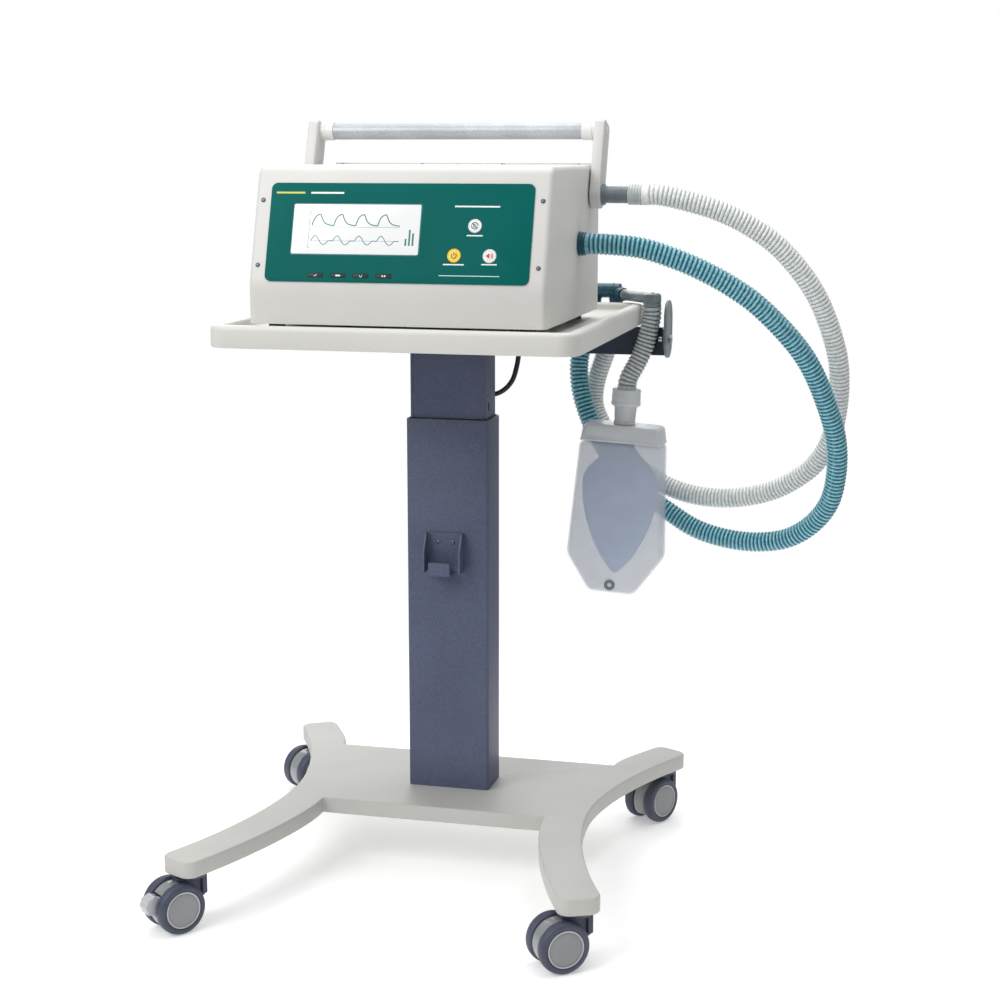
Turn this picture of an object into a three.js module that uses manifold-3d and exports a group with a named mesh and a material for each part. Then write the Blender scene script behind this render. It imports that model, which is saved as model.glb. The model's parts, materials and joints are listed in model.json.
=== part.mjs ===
// Mechanical ventilator on a wheeled, height-adjustable trolley.
// Millimetres, +X to the right of the screen, +Y to the back, +Z up.
import * as THREE from "three";
import { mergeVertices } from "three/addons/utils/BufferGeometryUtils.js";
import Module from "manifold-3d";

const wasm = await Module();
wasm.setup();

// Gap left between faces that touch on the real machine.
const gap = 0.3;

// Base casting
const baseTop = 108;
const baseThickness = 25;
const plateFront = -36;
const plateBack = 235;
const frontNotch = 180;
const rearNotch = 237;
const waist = 242;
const waistY = 5;
const frontFoot = new THREE.Vector2(288, -316);
const rearFoot = new THREE.Vector2(306, 316);
const footRadius = 31;
const footCorner = 18;

// Casters
const wheelRadius = 37.5;
const wheelHalfSpan = 30;
const wheelInner = 12;
const hoodRadius = 34.5;
const hoodHalf = 11.2;
const casterTrail = 28;
const stemRadius = 6;
const headRadius = 24;

// Column
const columnY = 96;
const outerWidth = 132;
const outerDepth = 75;
const innerWidth = 122;
const innerDepth = 65;
const tubeWall = 2.5;
const outerTop = 706;
const innerBottom = 330;
const springTop = 480;

// Tray
const trayWidth = 541;
const trayFront = -249;
const trayBack = 297;
const trayBottom = 842;
const trayTop = 874;
const trayFloor = 862;
const trayUnder = 858;
const rimWidth = 21;

// Ventilator casing
const caseHalf = 217.5;
const caseFront = -210;
const caseBack = 156;
const caseBottom = 874.6;
const caseTop = 1096;
const slopeStart = 932.6;
const slopeRun = 51;
const caseWall = 4;

// Front panel, measured across and up the sloping face
const overlayHalf = 193;
const overlayLow = 2.5;
const overlayHigh = 146;
const screenLeft = -158;
const screenRight = 33;
const screenLow = 41.3;
const screenHigh = 116.7;
const keyRadius = 10;
const keyTravelSide = 0.4;

// Handle and gas ports on the sides
const armHalf = 21;
const armLength = 106;
const armLean = 0.336;
const armInner = 219.6;
const armOuter = 236;
const gripRadius = 12.5;
const gripHalf = 198;
const pivotY = 92;
const pivotZ = 1052;
const lowerPortY = 11;
const lowerPortZ = 982;

// Breathing circuit
const hoseDiameter = 32;
const limbDiameter = 31;
const cableDiameter = 8;
const hoseArmY = 258;
const hoseArmEnd = 312;
const wyeHub = new THREE.Vector3(216, 322, 886);
const wyeRise = 5;
const wyeSpread = 36;
const wyeLegEnd = 862;
const elbowPoint = new THREE.Vector3(289.5, 240, 886);
const elbowSkirt = 872;
const lungTop = new THREE.Vector3(252, 232, 741);
const lungTilt = 0.055;

// The footprint's middle stands on the frame's origin.
const shiftX = 12.1;
const shiftY = 16.54;

const ventilator = new THREE.Group();
ventilator.position.set(shiftX, shiftY, 0);

const paint = {
  shell: { color: "#cfcecb", roughness: 0.45, metalness: 0 },
  cast: { color: "#c9c8c3", roughness: 0.5, metalness: 0.05 },
  slate: { color: "#505a73", roughness: 0.55, metalness: 0.3 },
  navy: { color: "#232c3c", roughness: 0.5, metalness: 0.3 },
  tyre: { color: "#464c60", roughness: 0.6, metalness: 0 },
  housing: { color: "#8d8e90", roughness: 0.5, metalness: 0.1 },
  steel: { color: "#b8bcc0", roughness: 0.3, metalness: 0.9 },
  black: { color: "#1c1d20", roughness: 0.6, metalness: 0 },
  teal: { color: "#00706a", roughness: 0.35, metalness: 0 },
  screen: { color: "#f2f5f5", roughness: 0.15, metalness: 0 },
  white: { color: "#e6e6e4", roughness: 0.4, metalness: 0 },
  yellow: { color: "#f2c230", roughness: 0.4, metalness: 0 },
  grip: { color: "#bdc0c4", roughness: 0.45, metalness: 0.5 },
  whiteHose: { color: "#cdcfce", roughness: 0.4, metalness: 0 },
  tealHose: { color: "#2f8799", roughness: 0.4, metalness: 0 },
  greyHose: { color: "#83888a", roughness: 0.45, metalness: 0 },
  darkTube: { color: "#565d62", roughness: 0.4, metalness: 0 },
  frosted: { color: "#c4c7cb", roughness: 0.5, metalness: 0 },
  bag: { color: "#9fb0c4", roughness: 0.55, metalness: 0 },
  board: { color: "#1f6b3a", roughness: 0.6, metalness: 0 },
};

function add(name, geometry, finish, parent = ventilator) {
  const mesh = new THREE.Mesh(geometry, new THREE.MeshStandardMaterial(finish));
  mesh.name = name;
  parent.add(mesh);
  return mesh;
}

// Solids for joining and cutting
function solid(geometry) {
  const bare = geometry.clone();
  bare.deleteAttribute("normal");
  bare.deleteAttribute("uv");
  const merged = mergeVertices(bare, 1e-3);
  const vertProperties = merged.attributes.position.array;
  const triVerts = new Uint32Array(merged.index.array);
  return new wasm.Manifold(new wasm.Mesh({ numProp: 3, vertProperties, triVerts }));
}

function surface(shape) {
  const mesh = shape.getMesh();
  const geometry = new THREE.BufferGeometry();
  const positions = new Float32Array(mesh.vertProperties);
  geometry.setAttribute("position", new THREE.BufferAttribute(positions, 3));
  geometry.setIndex(Array.from(mesh.triVerts));
  geometry.computeVertexNormals();
  return geometry;
}

function join(first, ...others) {
  const whole = others.reduce((sum, other) => sum.add(solid(other)), solid(first));
  return surface(whole);
}

function cut(first, ...others) {
  const rest = others.reduce((sum, other) => sum.subtract(solid(other)), solid(first));
  return surface(rest);
}

// Basic shapes
function block(x0, x1, y0, y1, z0, z1) {
  const box = new THREE.BoxGeometry(x1 - x0, y1 - y0, z1 - z0);
  return box.translate((x0 + x1) / 2, (y0 + y1) / 2, (z0 + z1) / 2);
}

function roundedRectangle(width, height, radius, x = 0, y = 0) {
  const right = x + width / 2;
  const left = x - width / 2;
  const top = y + height / 2;
  const bottom = y - height / 2;
  const outline = new THREE.Shape();
  outline.absarc(right - radius, bottom + radius, radius, -Math.PI / 2, 0, false);
  outline.absarc(right - radius, top - radius, radius, 0, Math.PI / 2, false);
  outline.absarc(left + radius, top - radius, radius, Math.PI / 2, Math.PI, false);
  outline.absarc(left + radius, bottom + radius, radius, Math.PI, Math.PI * 1.5, false);
  outline.closePath();
  return outline;
}

// An outline raised from z0 to z1, with an optional rounded edge inside the outline.
function slab(outline, z0, z1, edge = 0, steps = 2, curve = 4) {
  const settings = {
    depth: z1 - z0 - 2 * edge,
    bevelEnabled: edge > 0,
    bevelThickness: edge,
    bevelSize: edge,
    bevelOffset: -edge,
    bevelSegments: steps,
    curveSegments: curve,
  };
  return new THREE.ExtrudeGeometry(outline, settings).translate(0, 0, z0 + edge);
}

const axisX = new THREE.Vector3(1, 0, 0);
const axisY = new THREE.Vector3(0, 1, 0);
const axisZ = new THREE.Vector3(0, 0, 1);

// A slab drawn in Y and Z that runs along X.
function slabAlongX(outline, x0, x1, edge = 0, steps = 2, curve = 4) {
  const turn = new THREE.Matrix4().makeBasis(axisY, axisZ, axisX);
  return slab(outline, x0, x1, edge, steps, curve).applyMatrix4(turn);
}

// A slab drawn in X and Z that runs along Y.
function slabAlongY(outline, y0, y1, edge = 0, steps = 2, curve = 4) {
  const turn = new THREE.Matrix4().makeBasis(axisX, axisZ, axisY.clone().negate());
  return slab(outline, -y1, -y0, edge, steps, curve).applyMatrix4(turn);
}

// A round bar between two points.
function rod(radius, start, end, sides = 16) {
  const along = end.clone().sub(start);
  const bar = new THREE.CylinderGeometry(radius, radius, along.length(), sides);
  const turn = new THREE.Quaternion().setFromUnitVectors(axisY, along.clone().normalize());
  bar.applyQuaternion(turn);
  const middle = start.clone().add(end).multiplyScalar(0.5);
  return bar.translate(middle.x, middle.y, middle.z);
}

function rodAlongX(radius, x0, x1, y, z, sides = 16) {
  return rod(radius, new THREE.Vector3(x0, y, z), new THREE.Vector3(x1, y, z), sides);
}

function rodAlongY(radius, y0, y1, x, z, sides = 16) {
  return rod(radius, new THREE.Vector3(x, y0, z), new THREE.Vector3(x, y1, z), sides);
}

function upright(radius, z0, z1, x, y, sides = 16) {
  return rod(radius, new THREE.Vector3(x, y, z0), new THREE.Vector3(x, y, z1), sides);
}

// A turned piece about Z: pairs of radius and height, from the axis to the axis.
function turned(profile, sides = 20) {
  const points = profile.map(([radius, height]) => new THREE.Vector2(radius, height));
  return new THREE.LatheGeometry(points, sides).rotateX(Math.PI / 2);
}

// Base casting: a centre plate between two bowed members that end in four round feet.
function baseOutline() {
  const frontWay = new THREE.Vector2(0.42, -0.907).normalize();
  const rearWay = new THREE.Vector2(0.5, 0.866).normalize();
  const half = new THREE.Path();
  const along = (point, way, distance) => point.clone().addScaledVector(way, distance);
  const across = (way, side) => new THREE.Vector2(-way.y * side, way.x * side);
  const frontInner = along(frontFoot, across(frontWay, -1), footRadius);
  const frontOuter = along(frontFoot, across(frontWay, 1), footRadius);
  const rearOuter = along(rearFoot, across(rearWay, -1), footRadius);
  const rearInner = along(rearFoot, across(rearWay, 1), footRadius);
  const bend = (start, end, first, second) => {
    half.bezierCurveTo(first.x, first.y, second.x, second.y, end.x, end.y);
  };
  const notch = new THREE.Vector2(frontNotch, plateFront);
  const middle = new THREE.Vector2(waist, waistY);
  const corner = new THREE.Vector2(rearNotch, plateBack);
  half.moveTo(0, plateFront);
  half.lineTo(notch.x, notch.y);
  bend(notch, frontInner, new THREE.Vector2(frontNotch - 2, -115), along(frontInner, frontWay, -90));
  const bluntEnd = (foot, way, angle) => {
    const inset = footRadius - footCorner;
    for (const side of [-1, 1]) {
      const middle = along(along(foot, way, inset), across(way, side), inset);
      const start = side < 0 ? angle - Math.PI / 2 : angle;
      half.absarc(middle.x, middle.y, footCorner, start, start + Math.PI / 2, false);
    }
  };
  bluntEnd(frontFoot, frontWay, Math.atan2(frontWay.y, frontWay.x));
  bend(frontOuter, middle, along(frontOuter, frontWay, -110), new THREE.Vector2(waist, waistY - 90));
  bend(middle, rearOuter, new THREE.Vector2(waist, waistY + 90), along(rearOuter, rearWay, -95));
  bluntEnd(rearFoot, rearWay, Math.atan2(rearWay.y, rearWay.x));
  bend(rearInner, corner, along(rearInner, rearWay, -45), new THREE.Vector2(rearNotch, plateBack + 25));
  half.lineTo(0, plateBack);
  const right = half.getPoints(5).filter((point, index, list) => {
    return index === 0 || point.distanceTo(list[index - 1]) > 0.5;
  });
  const inside = right.slice(1, -1);
  const left = inside.map((point) => new THREE.Vector2(-point.x, point.y)).reverse();
  return new THREE.Shape([right[0], ...inside, right[right.length - 1], ...left]);
}

const feet = {
  fl: new THREE.Vector2(-frontFoot.x, frontFoot.y),
  fr: frontFoot,
  rl: new THREE.Vector2(-rearFoot.x, rearFoot.y),
  rr: rearFoot,
};

const stemBores = Object.values(feet).map((foot) => {
  return upright(stemRadius + gap, baseTop - baseThickness - 1, baseTop - 7, foot.x, foot.y);
});
const basePlate = slab(baseOutline(), baseTop - baseThickness, baseTop, 2.5, 1);
add("base_frame", cut(basePlate, ...stemBores), paint.cast);

// A twin-wheel swivel caster. Its own frame has the stem on the origin and the axle along Y.
function addCaster(name, heading, braked) {
  const caster = new THREE.Group();
  caster.position.set(feet[name].x, feet[name].y, 0);
  caster.rotation.z = heading;
  ventilator.add(caster);
  const headTop = baseTop - baseThickness - 0.4;
  const stem = upright(stemRadius, headTop - 3, baseTop - 8, 0, 0);
  const head = upright(headRadius, headTop - 6.5, headTop, 0, 0);
  const hood = rodAlongY(hoodRadius, -hoodHalf, hoodHalf, casterTrail, wheelRadius, 28);
  const neck = block(-11, 27, -hoodHalf, hoodHalf, 44, headTop - 4);
  const bracket = block(-20, -11, -15, 15, 46, headTop - 4);
  const pinX = casterTrail + 30;
  const pinZ = wheelRadius + 10;
  const below = block(-40, 90, -20, 20, -5, 13);
  let fork = cut(join(head, stem, hood, neck, bracket), below);
  if (braked) {
    const recess = rodAlongY(17.6, -20, 20, casterTrail + 36.5, wheelRadius + 9, 24);
    const tongue = block(casterTrail, pinX + 2, -3.2, 3.2, pinZ - 5, pinZ + 5);
    const pin = rodAlongY(2.5, -9.4, 9.4, pinX, pinZ, 12);
    fork = join(cut(fork, recess), tongue, pin);
  }
  fork = cut(fork, rodAlongY(4.4, -20, 20, casterTrail, wheelRadius));
  add("caster_" + name + "_fork", fork, paint.housing, caster);
  const rim = [
    [30, wheelHalfSpan],
    [34, wheelHalfSpan - 1],
    [wheelRadius, wheelHalfSpan - 4.5],
    [wheelRadius, wheelInner + 3.3],
    [34.5, wheelInner],
    [4, wheelInner],
  ];
  const far = rim.map(([radius, height]) => [radius, -height]);
  const profile = [[0, -wheelHalfSpan], ...far, ...rim.reverse(), [0, wheelHalfSpan]];
  const wheels = turned(profile).rotateX(Math.PI / 2);
  wheels.translate(casterTrail, 0, wheelRadius);
  add("caster_" + name + "_wheels", wheels, paint.tyre, caster);
  if (braked) {
    const pad = rodAlongY(15, -10.4, 10.4, casterTrail + 36, wheelRadius + 8.5, 20);
    const slot = block(casterTrail, pinX + 4.6, -3.7, 3.7, pinZ - 18, pinZ + 18);
    const bore = rodAlongY(2.8, -12, 12, pinX, pinZ, 12);
    add("caster_" + name + "_brake", cut(pad, slot, bore), paint.housing, caster);
  }
}

addCaster("fl", -2.23, true);
addCaster("fr", -2.5, false);
addCaster("rl", -2.2, false);
addCaster("rr", -2.1, false);

// Lifting column: two rectangular tubes, a glide ring between them and a gas spring inside.
const outerProfile = roundedRectangle(outerWidth, outerDepth, 5, 0, columnY);
const outerHollow = roundedRectangle(outerWidth - 2 * tubeWall, outerDepth - 2 * tubeWall, 3, 0, columnY);
const outerStart = baseTop + 0.4;
const outerTube = cut(
  slab(outerProfile, outerStart, outerTop, 0, 1, 3),
  slab(outerHollow, outerStart + 8, outerTop + 5, 0, 1, 2),
);
add("column_outer_tube", outerTube, paint.slate);

const innerProfile = roundedRectangle(innerWidth, innerDepth, 5, 0, columnY);
const innerHollow = roundedRectangle(innerWidth - 2 * tubeWall, innerDepth - 2 * tubeWall, 3, 0, columnY);
const plateBottom = trayUnder - gap - 6;
const innerTube = cut(
  slab(innerProfile, innerBottom, plateBottom - gap, 0, 1, 3),
  slab(innerHollow, innerBottom - 5, plateBottom + 5, 0, 1, 2),
  rodAlongY(cableDiameter / 2 + 1.5, columnY, columnY + innerDepth, 0, 790, 16),
  rodAlongX(7, 40, innerWidth, columnY - 12, 725, 20),
);
add("column_inner_tube", innerTube, paint.slate);

const glideOutline = roundedRectangle(outerWidth - 5.6, outerDepth - 5.6, 2.8, 0, columnY);
const glideHole = roundedRectangle(innerWidth + 0.6, innerDepth + 0.6, 5.2, 0, columnY);
const glideRing = cut(
  slab(glideOutline, outerTop - 38, outerTop - 0.5, 0, 1, 2),
  slab(glideHole, outerTop - 45, outerTop + 5, 0, 1, 3),
);
add("column_glide_ring", glideRing, paint.black);

const springBody = cut(
  upright(14, outerStart + 8 + gap, springTop, 0, columnY),
  upright(4.4, outerStart + 32, springTop + 5, 0, columnY),
);
add("gas_spring_cylinder", springBody, paint.black);
add("gas_spring_rod", upright(4, 205, plateBottom - gap, 0, columnY), paint.steel);

// Lead hook on the front of the column: a folded plate with two cheeks and a turned-up lip.
const hookBack = columnY - outerDepth / 2 - gap;
function hookPlate() {
  const back = block(-33, 27, hookBack - 2.5, hookBack, 466, 527);
  const cheek = new THREE.Shape();
  cheek.moveTo(hookBack, 466);
  cheek.lineTo(hookBack, 527);
  cheek.lineTo(hookBack - 12, 527);
  cheek.lineTo(hookBack - 26, 500);
  cheek.lineTo(hookBack - 26, 466);
  cheek.closePath();
  const left = slabAlongX(cheek, -33, -30.5);
  const right = slabAlongX(cheek, 24.5, 27);
  const floor = block(-22, 12, hookBack - 30, hookBack, 463, 466.5);
  const lip = block(-22, 12, hookBack - 32.5, hookBack - 29.5, 463, 484);
  return join(back, left, right, floor, lip);
}
add("lead_hook", hookPlate(), paint.slate);

// Tray: a moulded pan with a raised round rim, hollow below.
const trayMiddle = (trayFront + trayBack) / 2;
const trayDepth = trayBack - trayFront;
function trayOutline(inset, radius) {
  return roundedRectangle(trayWidth - 2 * inset, trayDepth - 2 * inset, radius, 0, trayMiddle);
}
const rimHollow = cut(
  slab(trayOutline(5, 24), trayBottom - 5, trayTop - 6, 0, 1, 4),
  slab(trayOutline(rimWidth - 5, 14), trayBottom - 10, trayTop, 0, 1, 3),
);
const tray = cut(
  slab(trayOutline(0, 30), trayBottom, trayTop, 5, 1, 5),
  slab(trayOutline(rimWidth, 10), trayFloor, trayTop + 5, 0, 1, 3),
  slab(trayOutline(rimWidth - 5.5, 14), trayBottom - 5, trayUnder, 0, 1, 3),
  rimHollow,
);
add("tray", tray, paint.shell);

const supportPlate = slab(roundedRectangle(260, 200, 12, 0, 70), plateBottom, plateBottom + 6, 0, 1, 4);
add("tray_support_plate", supportPlate, paint.navy);

// Hose arm below the back right corner of the tray.
function hoseArm() {
  const web = block(120, hoseArmEnd, hoseArmY, hoseArmY + 5, 793, 838);
  const root = block(140, 245, hoseArmY, hoseArmY + 5, 837, trayUnder - gap);
  const flange = block(140, 245, hoseArmY - 30, hoseArmY + 1, trayUnder - gap - 5, trayUnder - gap);
  const tab = block(hoseArmEnd - 5, hoseArmEnd, hoseArmY - 24, hoseArmY + 5, 800, 838);
  return cut(join(web, root, flange, tab), rodAlongX(4.3, 295, 320, hoseArmY - 12, 820));
}
add("hose_arm", hoseArm(), paint.navy);

const guardX = hoseArmEnd + gap;
const guard = cut(
  slabAlongX(roundedRectangle(60, 92, 29, hoseArmY - 12, 837), guardX, guardX + 5, 1, 1, 4),
  rodAlongX(4.3, 295, 325, hoseArmY - 12, 820),
);
add("hose_arm_guard", guard, paint.navy);

const armBolt = join(
  rodAlongX(4, hoseArmEnd - 12, guardX + 6, hoseArmY - 12, 820),
  rodAlongX(8, guardX + 5 + gap, guardX + 9, hoseArmY - 12, 820, 6),
);
add("hose_arm_bolt", armBolt, paint.steel);

// Ventilator casing: a hood with a leaning front, open below and behind.
function caseProfile(inset, front, back, low, high) {
  const run = slopeRun / (caseTop - slopeStart);
  const lean = Math.hypot(1, run) * inset;
  const start = slopeStart - inset * 0.15;
  const outline = new THREE.Shape();
  const topFront = front + lean - inset + run * (high - start);
  outline.moveTo(back, low);
  outline.lineTo(back, high);
  outline.lineTo(topFront + 12, high);
  outline.quadraticCurveTo(topFront, high, topFront - run * 11, high - 11);
  outline.lineTo(front, start);
  outline.lineTo(front, low);
  outline.closePath();
  return outline;
}
const outerCase = slabAlongX(
  caseProfile(0, caseFront, caseBack, caseBottom, caseTop),
  -caseHalf,
  caseHalf,
  7,
  2,
  3,
);
const caseHollow = slabAlongX(
  caseProfile(caseWall, caseFront + caseWall, caseBack + 20, caseBottom - 20, caseTop - caseWall),
  -caseHalf + caseWall,
  caseHalf - caseWall,
  0,
  1,
  3,
);

// The front panel's own frame: X across, Y up the slope, Z out of it.
const slopeLean = Math.atan2(slopeRun, caseTop - slopeStart);
const panel = new THREE.Group();
panel.position.set(0, caseFront, slopeStart);
panel.rotation.x = Math.PI / 2 - slopeLean;
ventilator.add(panel);
panel.updateMatrix();

const keyPlaces = {
  mode: new THREE.Vector2(111, 85.3),
  standby: new THREE.Vector2(84, 42.8),
  mute: new THREE.Vector2(135, 42.8),
};
const keyBores = Object.values(keyPlaces).map((place) => {
  return upright(keyRadius + keyTravelSide, -12, 8, place.x, place.y);
});
const tabPlaces = [-117, -83.4, -49.7, -16];
const tabV = 12;
const screenMiddle = new THREE.Vector2((screenLeft + screenRight) / 2, (screenLow + screenHigh) / 2);
const screenWidth = screenRight - screenLeft;
const screenHeight = screenHigh - screenLow;

const casePlaced = (geometry) => geometry.applyMatrix4(panel.matrix);
const windowCut = block(screenLeft + 4, screenRight - 4, screenLow + 4, screenHigh - 4, -14, 6);
const tabCut = block(tabPlaces[0] - 12.5, tabPlaces[3] + 12.5, tabV - 3.2, tabV + 3.2, -14, 6);
const caseCuts = [
  caseHollow,
  casePlaced(windowCut),
  casePlaced(tabCut),
  ...keyBores.map((bore) => casePlaced(bore.clone())),
  rodAlongX(13.1, caseHalf - 20, caseHalf + 20, pivotY, pivotZ),
  rodAlongX(11.3, caseHalf - 20, caseHalf + 20, lowerPortY, lowerPortZ),
  rodAlongX(6.3, -caseHalf - 20, -caseHalf + 20, pivotY, pivotZ),
];
add("case_hood", cut(outerCase, ...caseCuts), paint.shell);

const overlayWidth = overlayHalf * 2;
const overlayHeight = overlayHigh - overlayLow;
const overlayOutline = roundedRectangle(overlayWidth, overlayHeight, 9, 0, (overlayLow + overlayHigh) / 2);
const overlayWindow = roundedRectangle(screenWidth + 0.8, screenHeight + 0.8, 3, screenMiddle.x, screenMiddle.y);
const tabHoles = tabPlaces.map((x) => block(x - 11.4, x + 11.4, tabV - 3.2, tabV + 3.2, -2, 6));
const overlay = cut(
  slab(overlayOutline, gap, gap + 1.4, 0, 1, 5),
  slab(overlayWindow, -2, 6, 0, 1, 2),
  ...keyBores,
  ...tabHoles,
);
add("front_overlay", overlay, paint.teal, panel);

const screenGlass = roundedRectangle(screenWidth, screenHeight, 2.7, screenMiddle.x, screenMiddle.y);
const display = join(
  slab(screenGlass, gap, gap + 1.1, 0, 1, 2),
  block(screenLeft + 4.5, screenRight - 4.5, screenLow + 4.5, screenHigh - 4.5, -9, gap + 0.5),
);
add("display", display, paint.screen, panel);

const keyPaint = { mode: paint.white, standby: paint.yellow, mute: paint.white };
for (const [name, place] of Object.entries(keyPlaces)) {
  const stem = [
    [0, -3.5],
    [keyRadius, -3.5],
    [keyRadius, 2.6],
    [keyRadius - 0.9, 3.2],
    [0, 3.2],
  ];
  const key = turned(stem, 20).translate(place.x, place.y, 0);
  add("key_" + name, key, keyPaint[name], panel);
}

const tabBar = join(
  block(tabPlaces[0] - 11, tabPlaces[3] + 11, tabV - 2, tabV + 2, -3.6, -0.6),
  ...tabPlaces.map((x) => block(x - 11, x + 11, tabV - 2.8, tabV + 2.8, -3.6, gap + 1.3)),
);
add("indicator_bar", tabBar, paint.black, panel);

// Chassis, back panel and what they carry.
const chassisLow = caseBottom + 1;
const chassisTop = chassisLow + 4;
const innerSide = caseHalf - caseWall - gap;
const chassis = block(-innerSide, innerSide, caseFront + 5, caseBack - 7, chassisLow, chassisTop);
add("chassis_plate", chassis, paint.housing);

const footPlaces = {
  fl: new THREE.Vector2(-186, -180),
  fr: new THREE.Vector2(186, -180),
  rl: new THREE.Vector2(-186, 126),
  rr: new THREE.Vector2(186, 126),
};
for (const [name, place] of Object.entries(footPlaces)) {
  const pad = upright(12, trayFloor + gap, chassisLow - gap, place.x, place.y, 20);
  add("foot_" + name, pad, paint.black);
}

const backInner = caseBack - 6;
const backOuter = caseBack - 3;
const backPanelPlate = block(-innerSide, innerSide, backInner, backOuter, chassisLow, caseTop - caseWall - gap);
const fanSlots = [-3, -2, -1, 0, 1, 2, 3].map((step) => {
  return block(-150, -60, backInner - 5, backOuter + 5, 1000 + step * 9 - 2.2, 1000 + step * 9 + 2.2);
});
const backPanel = cut(
  backPanelPlate,
  ...fanSlots,
  block(120, 170, backInner - 5, backOuter + 5, 900, 930),
  block(86, 108, backInner - 5, backOuter + 5, 902, 928),
  rodAlongY(10.4, backInner - 5, backOuter + 5, 40, 1010),
);
add("back_panel", backPanel, paint.shell);

const inletBody = cut(
  join(
    block(114, 176, backOuter + gap, backOuter + 3, 894, 936),
    block(120.4, 169.6, backInner - 22, backOuter + 1, 900.4, 929.6),
  ),
  block(125, 165, backInner - 12, backOuter + 10, 905, 925),
);
add("mains_inlet", inletBody, paint.black);

const rockerPlace = new THREE.Vector3(97, backOuter - 1, 915);
const rockerTilt = 0.12;
const rockerFace = new THREE.Shape();
rockerFace.moveTo(-7, -12.4);
rockerFace.lineTo(6, -12.4);
rockerFace.lineTo(3, 0);
rockerFace.lineTo(4.4, 12.4);
rockerFace.lineTo(-7, 12.4);
rockerFace.closePath();
const rocker = slabAlongX(rockerFace, -10.4, 10.4).rotateX(rockerTilt);
rocker.translate(rockerPlace.x, rockerPlace.y, rockerPlace.z);
add("power_rocker", rocker, paint.black);

const oxygenInlet = cut(
  join(
    rodAlongY(10, backInner - 14, backOuter + 4, 40, 1010),
    rodAlongY(14, backOuter + gap, backOuter + 6, 40, 1010, 6),
    rodAlongY(7.5, backOuter + 5, backOuter + 24, 40, 1010),
  ),
  rodAlongY(3.5, backInner - 8, backOuter + 30, 40, 1010, 16),
);
add("oxygen_inlet", oxygenInlet, paint.steel);

const blowerBody = join(
  upright(52, chassisTop + gap, chassisTop + 60, -100, 20, 20),
  block(-100, -20, -10, 20, chassisTop + gap, chassisTop + 40),
);
add("blower", blowerBody, paint.black);
add("battery_pack", block(60, 180, -120, 10, chassisTop + gap, chassisTop + 62), paint.navy);
const boardSheet = block(-170, 170, 96, 98, chassisTop + gap, chassisTop + 150);
add("control_board", boardSheet, paint.board);

// Carrying handle: two leaning arms and a grip between them.
function handleArm(side) {
  const outline = new THREE.Shape();
  outline.absarc(0, 0, armHalf, Math.PI, Math.PI * 2, false);
  outline.absarc(armHalf - 8, armLength, 8, 0, Math.PI / 2, false);
  outline.absarc(-armHalf + 8, armLength, 8, Math.PI / 2, Math.PI, false);
  outline.closePath();
  const inner = side > 0 ? armInner : -armOuter;
  const outer = side > 0 ? armOuter : -armInner;
  const plate = slabAlongX(outline, inner, outer, 2, 1, 5);
  plate.rotateX(-armLean);
  plate.translate(0, pivotY, pivotZ);
  const grip = gripCentre();
  const start = side > 0 ? gripHalf + gap : -armInner - 3;
  const end = side > 0 ? armInner + 3 : -gripHalf - gap;
  const collar = rodAlongX(13.6, start, end, grip.y, grip.z, 20);
  const bore = side > 0 ? 13.1 : 6.3;
  const spigotStart = side > 0 ? gripHalf - 5 : -gripHalf - 13;
  const spigot = rodAlongX(8.3, spigotStart, spigotStart + 18, grip.y, grip.z);
  return cut(
    join(plate, collar),
    rodAlongX(bore, inner - 10, outer + 10, pivotY, pivotZ),
    spigot,
  );
}

function gripCentre() {
  const reach = armLength - 6;
  const y = pivotY + Math.sin(armLean) * reach;
  const z = pivotZ + Math.cos(armLean) * reach;
  return new THREE.Vector3(0, y, z);
}

add("handle_arm_left", handleArm(-1), paint.shell);
add("handle_arm_right", handleArm(1), paint.shell);
const gripLine = gripCentre();
const gripBar = join(
  rodAlongX(gripRadius, -gripHalf, gripHalf, gripLine.y, gripLine.z, 20),
  rodAlongX(8, -gripHalf - 12, gripHalf + 12, gripLine.y, gripLine.z),
);
add("handle_grip", gripBar, paint.grip);

const pivotBolt = join(
  rodAlongX(6, -armOuter - 2, -caseHalf + 14, pivotY, pivotZ),
  rodAlongX(10, -armOuter - 4.5, -armOuter - gap, pivotY, pivotZ),
  rodAlongX(10, -innerSide, -innerSide + 6, pivotY, pivotZ, 6),
);
add("handle_pivot_bolt", pivotBolt, paint.steel);

// Gas ports: the upper one passes through the right handle arm.
const upperPort = cut(
  join(
    rodAlongX(12.8, 194, 276, pivotY, pivotZ, 16),
    rodAlongX(16, armOuter + gap, armOuter + 5, pivotY, pivotZ, 16),
    rodAlongX(17, innerSide - 6, innerSide, pivotY, pivotZ, 16),
    rodAlongX(11, 270, 292, pivotY, pivotZ, 16),
  ),
  rodAlongX(8.8, 180, 300, pivotY, pivotZ),
);
add("port_upper", upperPort, paint.darkTube);

const lowerPort = cut(
  join(
    rodAlongX(11, 194, 227.5, lowerPortY, lowerPortZ, 16),
    rodAlongX(16, innerSide - 6, innerSide, lowerPortY, lowerPortZ, 16),
  ),
  rodAlongX(8.8, 180, 240, lowerPortY, lowerPortZ),
);
add("port_lower", lowerPort, paint.darkTube);

function cuff(radius, bore, x0, x1, y, z) {
  return cut(rodAlongX(radius, x0, x1, y, z, 20), rodAlongX(bore, x0 - 5, x1 + 5, y, z));
}
add("cuff_upper", cuff(15.4, 11.4, 276.4, 297, pivotY, pivotZ), paint.frosted);
add("cuff_lower", cuff(18, 11.4, caseHalf + 0.4, 228, lowerPortY, lowerPortZ), paint.tealHose);

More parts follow.
